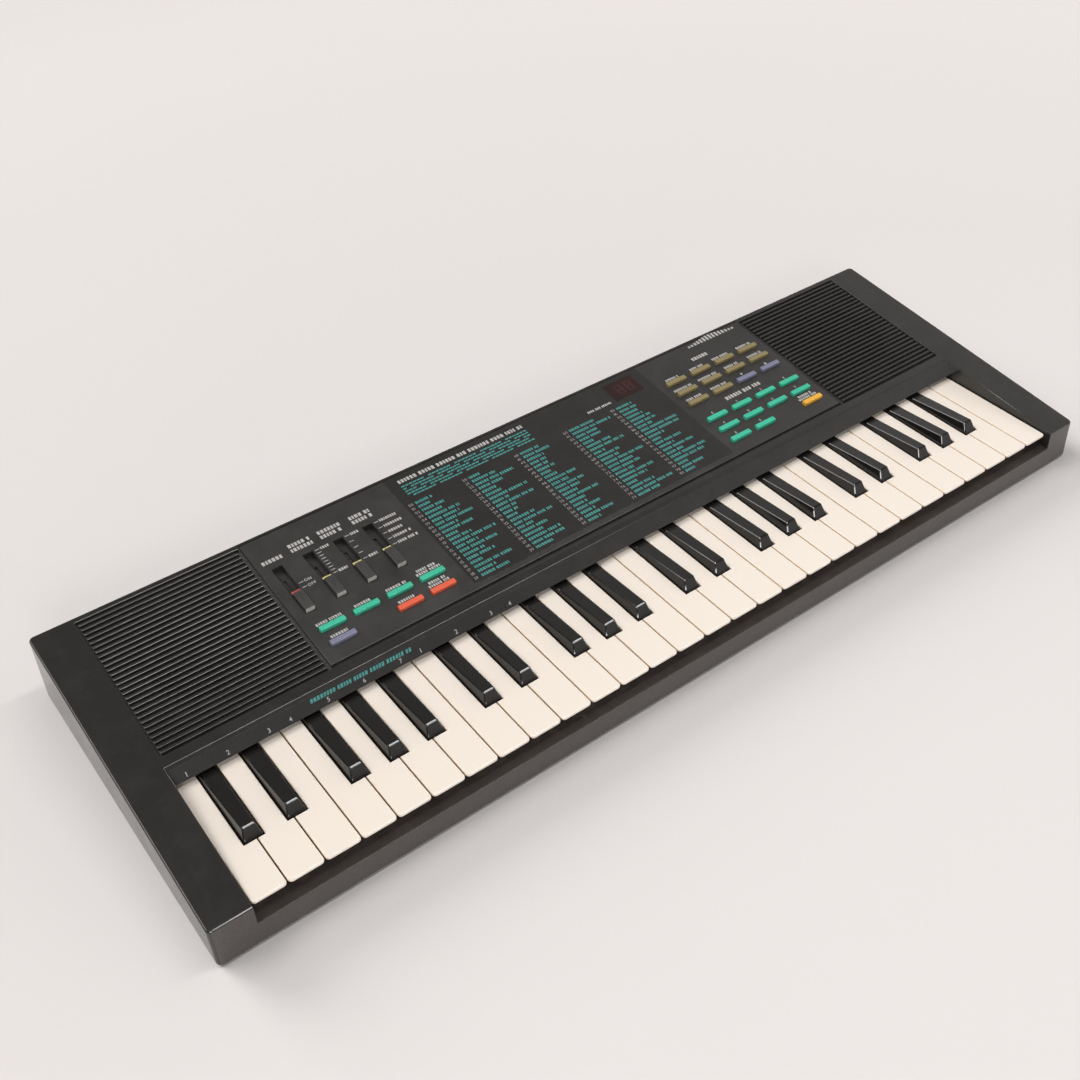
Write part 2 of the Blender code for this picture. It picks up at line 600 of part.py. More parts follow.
def make_circuit_board():
    """The board with its chips, capacitors, slide parts, key switches and rear sockets."""
    front = up_slope(PANEL_FRONT) + BOARD_MARGIN
    rear = REAR_FACE - WALL - BOARD_MARGIN
    left = PANEL_LEFT + BOARD_MARGIN
    right = PANEL_RIGHT - BOARD_MARGIN
    sunk = BOARD_TOP - BOARD_THICKNESS / 2
    board = panel_box("circuit_board", left, right, front, rear, BOARD_TOP - BOARD_THICKNESS, BOARD_TOP)
    parts = []
    for index in range(len(SLIDER_NAMES)):
        parts.append(panel_box("slide_part", *tray_box(index, 0.0), sunk, -TRAY_DEPTH - TRAY_WALL - FIT_GAP))
    for x_low, x_high, y_low, y_high in block_boxes(0.0):
        parts.append(panel_box("switch_mat", x_low, x_high, y_low, y_high, sunk,
                               WEB_BOTTOM - BUTTON_TRAVEL - FIT_GAP))
    middle = (front + rear) / 2
    left_mat, right_mat, _ = block_boxes(0.0)
    chip_pitch = (right_mat[0] - left_mat[1]) / CHIP_COUNT
    for index in range(CHIP_COUNT):
        x = left_mat[1] + (index + 0.5) * chip_pitch - CHIP_WIDTH / 2
        parts.append(panel_box("chip", x, x + CHIP_WIDTH, middle - CHIP_DEPTH / 2, middle + CHIP_DEPTH / 2,
                               sunk, BOARD_TOP + CHIP_HEIGHT))
    weld(board, gather("parts", parts))
    capacitor_pitch = 2 * CAPACITOR_RADIUS + CAPACITOR_GAP
    hung = [panel_prism("capacitor", circle(CAPACITOR_FIRST_X + index * capacitor_pitch, middle,
                                            CAPACITOR_RADIUS, CAPACITOR_SIDES),
                        BOARD_TOP - BOARD_THICKNESS - CAPACITOR_LENGTH, sunk)
            for index in range(CAPACITOR_COUNT)]
    half = SOCKET_BLOCK / 2
    inner_face = REAR_FACE - WALL - FIT_GAP
    for x, _ in SOCKETS:
        hung.append(panel_box("socket", x - half, x + half, inner_face - SOCKET_LENGTH, inner_face,
                              BOARD_TOP - BOARD_THICKNESS - SOCKET_BLOCK, sunk))
    weld(board, gather("hung", hung))
    noses = [rear_cylinder("nose", x, radius + SOCKET_NOSE_WALL, inner_face - WALL, REAR_FACE - FIT_GAP,
                           SOCKET_SIDES) for x, radius in SOCKETS]
    weld(board, gather("noses", noses))
    bore_end = REAR_FACE - SOCKET_DEPTH
    bores = [rear_cylinder("bore", x, radius, bore_end, REAR_FACE + WALL, SOCKET_SIDES)
             for x, radius in SOCKETS]
    cut(board, gather("bores", bores))
    weld(board, rear_cylinder("pin", POWER_X, POWER_PIN / 2, bore_end - WALL / 2, REAR_FACE - WALL,
                              PIN_SIDES))
    return board


def make_speaker(name, x):
    """A turned loudspeaker: rim, cone, basket and magnet, facing up through the grille."""
    rim = UNDERSIDE - FIT_GAP
    back = rim - SPEAKER_DEPTH
    outer = SPEAKER_RADIUS
    inner = outer - SPEAKER_RIM
    magnet_top = back + MAGNET_HEIGHT
    profile = [(0.0, rim - SPEAKER_CONE_DEPTH + SPEAKER_DOME_RISE),
               (SPEAKER_DOME_RADIUS, rim - SPEAKER_CONE_DEPTH), (inner, rim), (outer, rim),
               (outer, rim - SPEAKER_RIM_THICKNESS), (inner, rim - 2 * SPEAKER_RIM_THICKNESS),
               (MAGNET_RADIUS, magnet_top), (MAGNET_RADIUS, back), (0.0, back)]
    verts = []
    faces = []
    for side in range(SPEAKER_SIDES):
        turn = 2 * math.pi * side / SPEAKER_SIDES
        for r, z in profile:
            place = Vector((x + r * math.cos(turn), GRILLE_MIDDLE + r * math.sin(turn), z))
            verts.append(PANEL_FRAME @ place)
    count = len(profile)
    for side in range(SPEAKER_SIDES):
        after = (side + 1) % SPEAKER_SIDES
        for index in range(count - 1):
            ring = [side * count + index, after * count + index, after * count + index + 1,
                    side * count + index + 1]
            if index == 0:
                ring.pop(1)
            elif index == count - 2:
                ring.pop(2)
            faces.append(tuple(ring))
    return make_object(name, verts, faces)


def make_bottom_case():
    """The floor of the case, with feet, rim, key rails, contact strip and battery bay."""
    inner_half = CASE_HALF - WALL - FIT_GAP
    front = WALL + FIT_GAP
    rear = CASE_DEPTH - WALL * SLOPE - WALL / math.cos(TOP_SLOPE) - FIT_GAP
    bottom = box("bottom_case", -inner_half, inner_half, front, rear, BASE_Z, FLOOR_Z)
    inside = FLOOR_Z - WALL / 2
    span = RECESS_HALF - WALL
    added = []
    rail_top = PIVOT_Z - NOSE_RADIUS - FIT_GAP
    upstand = rail_top + RAIL_UPSTAND
    ahead = PIVOT_STATION - NOSE_RADIUS
    behind = PIVOT_STATION + 2 * NOSE_RADIUS
    hinge_rail = [(ahead, inside), (ahead, rail_top), (behind, rail_top), (behind, upstand),
                  (behind + WALL, upstand), (behind + WALL, inside)]
    added.append(side_prism("hinge_rail", hinge_rail, -span, span))
    stop = LEDGE_DEPTH + KEY_SPINE_START
    added.append(box("stop_rail", -span, span, stop, stop + RAIL_WIDTH, inside, pressed_bottom(stop)))
    added.append(box("contact_strip", -span, span, STRIP_STATION, STRIP_STATION + STRIP_WIDTH, inside,
                     pressed_bottom(STRIP_STATION)))
    weld(bottom, gather("rails", added))
    half = BAY_WIDTH / 2
    bay_top = FLOOR_Z + BAY_HEIGHT
    bay = box("bay", -half, half, BAY_FRONT, BAY_FRONT + BAY_DEPTH, inside, bay_top)
    cut(bay, box("bay_inside", -half + BAY_WALL, half - BAY_WALL, BAY_FRONT + BAY_WALL,
                 BAY_FRONT + BAY_DEPTH - BAY_WALL, FLOOR_Z, bay_top + WALL))
    weld(bottom, bay)
    rim_top = FLOOR_Z + RIM_HEIGHT
    for side in (-1, 1):
        ends = sorted((side * inner_half, side * (inner_half - RIM_WIDTH)))
        weld(bottom, box("rim", *ends, front, rear - RIM_HEIGHT * SLOPE, inside, rim_top))
    feet = [post("foot", x, station, FOOT_RADIUS, 0.0, BASE_Z + WALL / 2, FOOT_SIDES)
            for x in (-CASE_HALF + FOOT_INSET_X, 0.0, CASE_HALF - FOOT_INSET_X)
            for station in (FOOT_INSET_Y, CASE_DEPTH - FOOT_INSET_Y)]
    weld(bottom, gather("feet", feet))
    return bottom


def pressed_bottom(station):
    """Height just under a key's spine at a station, with the key fully down."""
    return SPINE_BOTTOM - (PIVOT_STATION - station) * math.tan(KEY_ANGLE) - FIT_GAP


def black_offsets():
    """Centre of each black key in the octave, from the octave's left edge."""
    return [gap * KEY_PITCH + shift for gap, shift in BLACK_KEYS]


def white_sides(step, lowest, highest):
    """Front and tail sides of a white key, from its own middle: left, right, tail left, tail right."""
    half = KEY_PITCH / 2
    left = -half + (END_TRIM if lowest else KEY_GAP / 2)
    right = half - (END_TRIM if highest else KEY_GAP / 2)
    reach = BLACK_WIDTH / 2 + BLACK_CLEARANCE
    middle = (step + 0.5) * KEY_PITCH
    tail_left = left
    tail_right = right
    for centre in black_offsets():
        away = centre - middle
        if -KEY_PITCH < away < 0:
            tail_left = max(tail_left, away + reach)
        if 0 < away < KEY_PITCH and not highest:
            tail_right = min(tail_right, away - reach)
    return left, right, tail_left, tail_right


def corner_arc(x, station, radius, start):
    """Points of a rounded corner, as x and stations, on a quarter circle."""
    turn = math.pi / 2 / KEY_CORNER_STEPS
    return [(x + radius * math.cos(start + turn * i), station + radius * math.sin(start + turn * i))
            for i in range(KEY_CORNER_STEPS + 1)]


def spine_profile():
    """Side view of what carries a key: the spine, and the round nose on the hinge axis."""
    turn = math.pi / NOSE_STEPS
    nose = [(PIVOT_STATION + NOSE_RADIUS * math.sin(turn * i), PIVOT_Z - NOSE_RADIUS * math.cos(turn * i))
            for i in range(NOSE_STEPS + 1)]
    inside = KEY_TOP - KEY_PLATE / 2
    lower = [(PIVOT_STATION - KEY_RAMP, SPINE_BOTTOM),
             (PIVOT_STATION - 2 * NOSE_RADIUS, PIVOT_Z - NOSE_RADIUS)]
    return lower + nose + [(KEY_REAR, PIVOT_Z + NOSE_RADIUS), (KEY_REAR, inside)]


def make_white_key(name, x, step, lowest, highest):
    """One white key: a thin plate with rounded front corners, on a spine down to the hinge."""
    left, right, tail_left, tail_right = white_sides(step, lowest, highest)
    notch = KEY_FRONT + BLACK_SETBACK - BLACK_CLEARANCE
    outline = corner_arc(left + KEY_CORNER, KEY_FRONT + KEY_CORNER, KEY_CORNER, math.pi)
    outline += corner_arc(right - KEY_CORNER, KEY_FRONT + KEY_CORNER, KEY_CORNER, 1.5 * math.pi)
    if tail_right < right:
        outline += [(right, notch), (tail_right, notch)]
    outline += [(tail_right, KEY_REAR), (tail_left, KEY_REAR)]
    if tail_left > left:
        outline += [(tail_left, notch), (left, notch)]
    key = extrude_outline(name, outline, KEY_TOP - KEY_PLATE, KEY_TOP,
                          lambda px, station, z: (x + px, FRONT_Y + station, z))
    front = LEDGE_DEPTH + KEY_SPINE_START / 2
    spine = [(front, KEY_TOP - KEY_PLATE / 2), (front, SPINE_BOTTOM + KEY_SPINE_START),
             (front + KEY_SPINE_START, SPINE_BOTTOM)] + spine_profile()
    middle = x + (tail_left + tail_right) / 2
    weld(key, side_prism("spine", spine, middle - KEY_SPINE_WIDTH / 2, middle + KEY_SPINE_WIDTH / 2))
    return key


def make_black_key(name, x):
    """One black key: a tapered body, highest at its sloped front end, on a tail to the hinge."""
    front = KEY_FRONT + BLACK_SETBACK
    half = BLACK_WIDTH / 2
    rings = [[(-half, front, SPINE_BOTTOM), (half, front, SPINE_BOTTOM), (half, KEY_REAR, SPINE_BOTTOM),
              (-half, KEY_REAR, SPINE_BOTTOM)],
             [(-half, front, KEY_TOP), (half, front, KEY_TOP), (half, KEY_REAR, KEY_TOP),
              (-half, KEY_REAR, KEY_TOP)],
             [(-BLACK_TOP_WIDTH / 2, front + BLACK_NOSE_RUN, KEY_TOP + BLACK_RISE),
              (BLACK_TOP_WIDTH / 2, front + BLACK_NOSE_RUN, KEY_TOP + BLACK_RISE),
              (BLACK_TOP_WIDTH_REAR / 2, KEY_REAR, KEY_TOP + BLACK_RISE_REAR),
              (-BLACK_TOP_WIDTH_REAR / 2, KEY_REAR, KEY_TOP + BLACK_RISE_REAR)]]
    verts = [(x + px, FRONT_Y + station, z) for ring in rings for px, station, z in ring]
    faces = [(0, 1, 2, 3), (8, 11, 10, 9)]
    faces += [(4 * ring + i, 4 * ring + (i + 1) % 4, 4 * ring + 4 + (i + 1) % 4, 4 * ring + 4 + i)
              for ring in (0, 1) for i in range(4)]
    key = make_object(name, verts, faces)
    bevel_edges(key, BLACK_ROUND, BLACK_ROUND_STEPS, lies_above(KEY_TOP + BLACK_RISE_REAR / 2))
    tail = [(KEY_REAR - WALL, PIVOT_Z + NOSE_RADIUS), (KEY_REAR - WALL, SPINE_BOTTOM)]
    tail += spine_profile()[:-2]
    weld(key, side_prism("tail", tail, x - BLACK_TAIL_WIDTH / 2, x + BLACK_TAIL_WIDTH / 2))
    return key


def make_keys(ivory, black):
    """All keys, from the lowest, each with its origin on its hinge axis."""
    for index in range(WHITE_COUNT):
        x = -KEYS_HALF + (index + 0.5) * KEY_PITCH
        key = make_white_key(f"white_key_{index + 1:02d}", x, index % 7, index == 0,
                             index == WHITE_COUNT - 1)
        finish(key, ivory, (x, FRONT_Y + PIVOT_STATION, PIVOT_Z))
    for index in range(len(BLACK_KEYS) * OCTAVES):
        octave, place = divmod(index, len(BLACK_KEYS))
        x = -KEYS_HALF + octave * 7 * KEY_PITCH + black_offsets()[place]
        key = make_black_key(f"black_key_{index + 1:02d}", x)
        finish(key, black, (x, FRONT_Y + PIVOT_STATION, PIVOT_Z))


def main():
    for old in list(bpy.data.objects):
        bpy.data.objects.remove(old)
    case_black = make_material("case_black", (0.035, 0.033, 0.031), 0.45)
    base_black = make_material("base_black", (0.03, 0.03, 0.03), 0.6)
    panel_black = make_material("panel_black", (0.03, 0.029, 0.028), 0.4)
    ivory = make_material("key_ivory", (0.87, 0.82, 0.74), 0.35)
    key_black = make_material("key_black", (0.016, 0.015, 0.014), 0.15)
    knob_grey = make_material("knob_grey", (0.06, 0.06, 0.06), 0.5)
    cap_green = make_material("cap_green", (0.05, 0.5, 0.36), 0.45)
    board_brown = make_material("board_brown", (0.25, 0.16, 0.07), 0.6)
    speaker_grey = make_material("speaker_grey", (0.12, 0.12, 0.12), 0.5, 0.4)
    finish(make_upper_case(), case_black)
    finish(make_bottom_case(), base_black)
    finish(make_control_panel(), panel_black)
    finish(make_button_set(), cap_green)
    finish(make_circuit_board(), board_brown)
    finish(make_speaker("speaker_left", sum(LEFT_GRILLE) / 2), speaker_grey)
    finish(make_speaker("speaker_right", sum(RIGHT_GRILLE) / 2), speaker_grey)
    for index in range(len(SLIDER_NAMES)):
        knob, origin = make_slider(index)
        finish(knob, knob_grey, origin)
    make_keys(ivory, key_black)


main()
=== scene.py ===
import math
import random

import bmesh
import bpy
from mathutils import Matrix, Vector


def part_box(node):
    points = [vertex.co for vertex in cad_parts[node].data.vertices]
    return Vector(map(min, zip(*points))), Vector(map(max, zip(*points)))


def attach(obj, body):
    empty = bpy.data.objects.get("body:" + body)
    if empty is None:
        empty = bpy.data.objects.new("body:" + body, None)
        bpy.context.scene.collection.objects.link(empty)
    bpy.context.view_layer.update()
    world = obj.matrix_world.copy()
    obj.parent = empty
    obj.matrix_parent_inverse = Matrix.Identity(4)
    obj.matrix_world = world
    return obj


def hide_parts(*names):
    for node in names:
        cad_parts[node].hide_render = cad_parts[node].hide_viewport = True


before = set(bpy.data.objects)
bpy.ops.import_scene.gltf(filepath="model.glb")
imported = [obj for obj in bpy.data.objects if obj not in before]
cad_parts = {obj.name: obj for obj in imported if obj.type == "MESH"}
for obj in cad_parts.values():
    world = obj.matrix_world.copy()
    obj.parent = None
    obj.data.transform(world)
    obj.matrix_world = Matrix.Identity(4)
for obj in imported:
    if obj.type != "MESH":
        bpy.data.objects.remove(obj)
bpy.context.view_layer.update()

MM = 0.001
SMOOTH_ANGLE = math.radians(34)
SHARP_ANGLE = math.radians(35)
FLAT_ANGLE = math.radians(0.6)
WELD_GAP = 0.002 * MM

# Places taken from the part: stations are distances behind the front face of the case
FRONT_Y = -104.25 * MM
TOP_SLOPE = math.radians(6.23)
TOP_AT_FRONT = 26.482 * MM
RECESS_HALF = 289.6 * MM
BASE_Z = 2.0 * MM
KEY_TOP = 24.8 * MM
KEY_REAR = 90.2 * MM
LIP_TOP = 15.1 * MM
WALL_FOOT = (84.3 * MM, 28.5 * MM)
WALL_TOP = (91.5 * MM, 36.47 * MM)
PANEL_FRONT_UP = 100.8 * MM
PANEL_REAR_UP = 202.0 * MM
PANEL_LEFT = -190.7 * MM
PANEL_RIGHT = 194.3 * MM
REAR_FACE_UP = 204.61 * MM
GRILLES = ((-288.2 * MM, -192.2 * MM), (195.8 * MM, 288.2 * MM))
RIB_DEPTH = 1.8 * MM

WORLD_FRAME = Matrix.Identity(4)
PANEL_FRAME = Matrix.Translation((0, FRONT_Y, TOP_AT_FRONT)) @ Matrix.Rotation(TOP_SLOPE, 4, 'X')
PANEL_INVERSE = PANEL_FRAME.inverted()


def up(station):
    """Distance up the slope, in the panel frame, of a station."""
    return station / math.cos(TOP_SLOPE)


def wall_frame():
    """A frame on the sloped wall behind the keys: x across, y up the wall from its foot, z out of it."""
    along = Vector((0, WALL_TOP[0] - WALL_FOOT[0], WALL_TOP[1] - WALL_FOOT[1])).normalized()
    out = Vector((1, 0, 0)).cross(along)
    turn = Matrix(((1, 0, 0), along, out)).transposed().to_4x4()
    return Matrix.Translation((0, FRONT_Y + WALL_FOOT[0], WALL_FOOT[1])) @ turn


WALL_FRAME = wall_frame()
LEVEL_FRAME = Matrix.Translation((0, FRONT_Y, 0))


# Materials

# Places of a Mix node's colour inputs and output, which share their names with others
MIX_COLOURS = (6, 7)
MIX_RESULT = 2
# Most values of a noise lie between these
MIDDLE = (0.3, 0.7)


class Nodes:
    """A node tree under construction, with the few steps that the finishes and the world share."""

    def __init__(self, holder, place):
        holder.use_nodes = True
        self.nodes = holder.node_tree.nodes
        self.links = holder.node_tree.links
        self.place = self.add("TexCoord").outputs[place]

    def feed(self, socket, value):
        """Links an output to an input, or sets the input's own value."""
        if isinstance(value, bpy.types.NodeSocket):
            self.links.new(value, socket)
        else:
            socket.default_value = value

    def add(self, kind, **inputs):
        """A new node with some of its inputs, whose names have underscores for spaces."""
        node = self.nodes.new("ShaderNode" + kind)
        for name, value in inputs.items():
            self.feed(node.inputs[name.replace("_", " ")], value)
        return node

    def part(self, vector, axis):
        """One number, X, Y or Z, of a vector."""
        return self.add("SeparateXYZ", Vector=vector).outputs[axis]

    def normal(self, axis):
        return self.part(self.add("NewGeometry").outputs["Normal"], axis)

    def stretched(self, scale):
        return self.add("Mapping", Scale=scale, Vector=self.place).outputs["Vector"]

    def noise(self, scale, detail=2.0, roughness=0.5, vector=None):
        return self.add("TexNoise", Scale=scale, Detail=detail, Roughness=roughness,
                        Vector=vector or self.place).outputs["Fac"]

    def ramp(self, value, low, high, to_low=0.0, to_high=1.0):
        return self.add("MapRange", Value=value, From_Min=low, From_Max=high, To_Min=to_low,
                        To_Max=to_high).outputs["Result"]

    def math(self, operation, *values, kind="Math"):
        node = self.add(kind)
        node.operation = operation
        for socket, value in zip(node.inputs, values):
            self.feed(socket, value)
        return node.outputs["Value"]

    def mix(self, share, first, second):
        node = self.add("Mix")
        node.data_type = 'RGBA'
        self.feed(node.inputs["Factor"], share)
        for place, value in zip(MIX_COLOURS, (first, second)):
            self.feed(node.inputs[place], (*value, 1.0) if isinstance(value, tuple) else value)
        return node.outputs[MIX_RESULT]

    def specks(self, scale, size, share):
        """Small round marks, one in some cells of a pattern."""
        cells = self.add("TexVoronoi", Scale=scale, Vector=self.place).outputs
        near = self.math('LESS_THAN', cells["Distance"], size)
        red = self.add("SeparateColor", Color=cells["Color"]).outputs["Red"]
        return self.math('MULTIPLY', near, self.math('LESS_THAN', red, share))


class Finish(Nodes):
    """A material under construction."""

    def __init__(self, name):
        self.material = bpy.data.materials.new(name)
        super().__init__(self.material, "Object")

    def put(self, socket, value):
        """Links or sets an input of the shader."""
        self.feed(self.nodes["Principled BSDF"].inputs[socket], value)

    def roughen(self, grain, low, high):
        self.put("Roughness", self.ramp(grain, *MIDDLE, low, high))

    def bump(self, height, strength, distance):
        self.put("Normal", self.add("Bump", Strength=strength, Distance=distance,
                                    Height=height).outputs["Normal"])


def colour(red, green, blue):
    """Linear colour of a screen colour, 0 to 255."""
    return tuple((c / 255 / 12.92 if c / 255 <= 0.04045 else ((c / 255 + 0.055) / 1.055) ** 2.4)
                 for c in (red, green, blue))


def shade(tone, factor):
    return tuple(min(c * factor, 1.0) for c in tone)


def plastic(name, tone, rough, grain, grain_scale=1500.0, depth=0.03 * MM, mottle=0.14, specular=0.5,
            dust=0.0, scratch=0.0, rough_change=0.08, patches=()):
    """Moulded plastic: a fine grain, a faint change of tone and gloss, and a little dust and wear.

    A patch is a tone and a function that makes its mask."""
    made = Finish(name)
    broad = made.noise(16.0, 4.0, 0.6)
    fine = made.noise(grain_scale, 2.0, 0.55)
    tones = made.mix(made.ramp(broad, *MIDDLE), shade(tone, 1 - mottle), shade(tone, 1 + mottle))
    for patch_tone, mask in patches:
        tones = made.mix(mask(made), tones, patch_tone)
    tones = made.mix(made.ramp(fine, 0.35, 0.75, 0.0, 0.35), tones, shade(tone, 1 + 2.5 * mottle))
    dust_tone = colour(150, 146, 140)
    if dust:
        film = made.ramp(made.noise(60.0, 6.0, 0.7), 0.45, 0.85, 0.0, 0.06 * dust)
        tones = made.mix(film, tones, dust_tone)
        for scale, size, share, strength in ((170.0, 0.035, 0.05, 0.5), (70.0, 0.02, 0.12, 0.7)):
            marks = made.math('MULTIPLY', made.specks(scale, size, share), strength * dust)
            tones = made.mix(marks, tones, dust_tone)
    if scratch:
        turned = made.stretched((60.0, 900.0, 300.0))
        lines = made.ramp(made.noise(1.0, 2.0, 0.5, turned), 0.76, 0.8)
        where = made.ramp(made.noise(9.0, 2.0), 0.55, 0.7)
        tones = made.mix(made.math('MULTIPLY', made.math('MULTIPLY', lines, where), 0.35 * scratch),
                         tones, dust_tone)
    made.put("Base Color", tones)
    made.roughen(made.noise(45.0, 5.0, 0.65), rough - rough_change, rough + rough_change)
    made.put("Specular IOR Level", specular)
    made.bump(fine, grain, depth)
    return made.material


def ink(name, tone, rough=0.55):
    """Screen-printed ink: slightly uneven cover on the plastic under it."""
    made = Finish(name)
    grain = made.noise(2600.0, 3.0, 0.6)
    cover = made.ramp(grain, 0.3, 0.6, 0.72, 1.0)
    made.put("Base Color", made.mix(cover, shade(tone, 0.45), tone))
    made.roughen(made.noise(300.0), rough - 0.1, rough + 0.1)
    made.bump(grain, 0.2, 0.01 * MM)
    return made.material


def metal(name, tone, rough):
    made = Finish(name)
    brushed = made.noise(1.0, 3.0, 0.6, made.stretched((300.0, 3000.0, 3000.0)))
    made.put("Base Color", made.mix(made.ramp(brushed, *MIDDLE), shade(tone, 0.8), tone))
    made.roughen(brushed, rough, rough + 0.15)
    made.put("Metallic", 1.0)
    made.bump(brushed, 0.15, 0.01 * MM)
    return made.material


def smoked_window(name):
    """The red filter over the two display digits."""
    made = Finish(name)
    depth = made.ramp(made.noise(40.0, 2.0), *MIDDLE)
    made.put("Base Color", made.mix(depth, colour(34, 17, 16), colour(46, 20, 18)))
    made.roughen(made.noise(400.0, 3.0), 0.12, 0.24)
    made.bump(made.noise(700.0), 0.05, 0.01 * MM)
    return made.material


def rubber(name):
    made = Finish(name)
    grain = made.noise(2200.0, 3.0, 0.6)
    made.put("Base Color", made.mix(grain, colour(28, 28, 28), colour(44, 43, 42)))
    made.roughen(grain, 0.75, 0.9)
    made.bump(grain, 0.5, 0.05 * MM)
    return made.material


SWITCHES = (("X", -184.0 * MM, -116.0 * MM), ("Y", 28.0 * MM, 78.0 * MM))


def switch_mask(made):
    """The dusty slide switches, on the part of the board under the slots."""
    within = [made.math('COMPARE', made.part(made.place, axis), (low + high) / 2, (high - low) / 2)
              for axis, low, high in SWITCHES]
    return made.math('MULTIPLY', *within)


def board_finish(name):
    """Brown paper board with a green mask here and there, solder points and tracks."""
    made = Finish(name)
    tracks = made.ramp(made.noise(1.0, 1.0, 0.5, made.stretched((90.0, 700.0, 90.0))), 0.48, 0.52)
    base = made.mix(tracks, colour(120, 84, 44), colour(92, 70, 36))
    base = made.mix(made.specks(240.0, 0.16, 0.4), base, colour(176, 174, 166))
    dusty = made.mix(made.ramp(made.noise(900.0, 4.0, 0.7), 0.4, 0.7), colour(30, 28, 26),
                     colour(84, 78, 68))
    base = made.mix(switch_mask(made), base, dusty)
    made.put("Base Color", base)
    made.put("Roughness", made.ramp(tracks, 0.0, 1.0, 0.55, 0.35))
    made.bump(made.noise(900.0), 0.2, 0.05 * MM)
    return made.material


def paper_cone(name):
    made = Finish(name)
    fibre = made.noise(1.0, 4.0, 0.65, made.stretched((900.0, 500.0, 900.0)))
    made.put("Base Color", made.mix(fibre, colour(16, 16, 16), colour(38, 37, 36)))
    made.roughen(fibre, 0.7, 0.95)
    made.bump(fibre, 0.4, 0.1 * MM)
    return made.material


# Where the lamps light the floor most
FLOOR_MIDDLE = (0.1, -0.3, 0.0)


def floor_finish(name):
    """Pale seamless paper, a little paler far from the lamps."""
    made = Finish(name)
    distance = made.math('DISTANCE', made.place, FLOOR_MIDDLE, kind="VectorMath")
    tone = made.mix(made.ramp(distance, 0.25, 1.1), colour(204, 200, 199), colour(215, 211, 209))
    made.put("Base Color", made.mix(made.ramp(made.noise(1.5, 2.0), 0.0, 1.0, 0.0, 0.2), tone,
                                    colour(211, 207, 205)))
    path = made.add("LightPath").outputs
    seen = made.math('MAXIMUM', path["Is Camera Ray"], path["Is Glossy Ray"])
    seen = made.math('MAXIMUM', seen, path["Is Transmission Ray"])
    made.put("Emission Color", (*colour(247, 243, 239), 1.0))
    made.put("Emission Strength", made.math('MULTIPLY', seen, made.ramp(distance, 0.6, 1.25, 0.0, 0.1)))
    made.roughen(made.noise(30.0), 0.8, 0.9)
    made.put("Specular IOR Level", 0.2)
    made.bump(made.noise(500.0, 3.0), 0.05, 0.05 * MM)
    return made.material


def front_mask(made):
    """Painted light: the front face of the case, made paler to stand in for the light that falls on it."""
    facing = made.ramp(made.normal("Y"), -0.75, -0.95)
    ahead = made.ramp(made.part(made.place, "Y"), -101.0 * MM, -101.6 * MM)
    return made.math('MULTIPLY', facing, ahead)


def ledge_mask(made):
    """The ledge in front of the keys, made paler: partly dust and wear, partly painted light that lifts the
    shade under the keys.
    """
    low = made.ramp(made.part(made.place, "Z"), 15.9 * MM, 15.3 * MM)
    level = made.ramp(made.normal("Z"), 0.6, 0.9)
    worn = made.ramp(made.noise(80.0, 5.0, 0.65), 0.25, 0.7, 0.55, 1.0)
    return made.math('MULTIPLY', made.math('MULTIPLY', low, level), worn)


def side_mask(made):
    """Painted shade: the long sides of a key, made darker and browner for the shade and warm bounce in the
    gaps between keys.
    """
    across = made.math('ABSOLUTE', made.normal("X"))
    return made.ramp(across, 0.7, 0.9)


# Painted light: the front-face patch makes the front of the case paler than the rest.
case_plastic = plastic("case_plastic", colour(43, 41, 39), 0.18, 0.1, mottle=0.05, dust=0.7,
                       rough_change=0.03,
                       # The ledge patch is paler partly for dust and wear, partly as painted light that
                       # lifts the shade under the keys.
                       patches=((colour(84, 79, 77), front_mask), (colour(72, 65, 62), ledge_mask)))
base_plastic = plastic("base_plastic", colour(38, 37, 36), 0.5, 0.5, grain_scale=1100.0, dust=0.5,
                       scratch=0.5)
panel_plastic = plastic("panel_plastic", colour(41, 39, 37), 0.42, 0.3, grain_scale=1900.0, dust=0.8,
                        scratch=0.8)
sheet_film = plastic("sheet_film", colour(36, 34, 33), 0.3, 0.12, grain_scale=900.0, dust=0.5,
                     scratch=1.0, rough_change=0.03)
strip_film = plastic("strip_film", colour(34, 33, 32), 0.3, 0.12, grain_scale=900.0, dust=0.5,
                     rough_change=0.03)
# The side patch on the keys is painted shade in the gaps between them.
ivory = plastic("key_ivory", colour(246, 235, 223), 0.28, 0.02, grain_scale=700.0, mottle=0.004,
                rough_change=0.004, patches=((colour(232, 204, 170), side_mask),))
piano_black = plastic("key_black", colour(24, 22, 21), 0.09, 0.03, grain_scale=600.0, mottle=0.1,
                      dust=0.3, rough_change=0.03)
knob_plastic = plastic("knob_plastic", colour(54, 53, 51), 0.45, 0.9, grain_scale=1300.0, depth=0.1 * MM,
                       mottle=0.3, dust=0.6)
knob_end_plastic = plastic("knob_end_plastic", colour(178, 174, 168), 0.35, 0.2, mottle=0.08)
red_ink = ink("red_ink", colour(205, 74, 50))
yellow_ink = ink("yellow_ink", colour(222, 208, 130))
print_grey = ink("print_grey", colour(186, 183, 180))
print_dim = ink("print_dim", colour(150, 144, 142))
print_teal = ink("print_teal", colour(59, 142, 136))
CAP_TONES = {"green": colour(58, 186, 152), "orange": colour(226, 95, 63), "lilac": colour(122, 123, 146),
             "olive": colour(140, 126, 86), "amber": colour(236, 176, 58)}
cap_plastic = {name: plastic("cap_" + name, tone, 0.38, 0.12, grain_scale=1200.0, mottle=0.05)
               for name, tone in CAP_TONES.items()}
web_rubber = rubber("web_rubber")
foot_rubber = rubber("foot_rubber")
window_red = smoked_window("window_red")
segment_red = ink("segment_red", colour(66, 28, 25), 0.4)
steel = metal("steel", colour(190, 188, 184), 0.25)
board_brown = board_finish("board_brown")
cone_paper = paper_cone("cone_paper")


# Mesh helpers

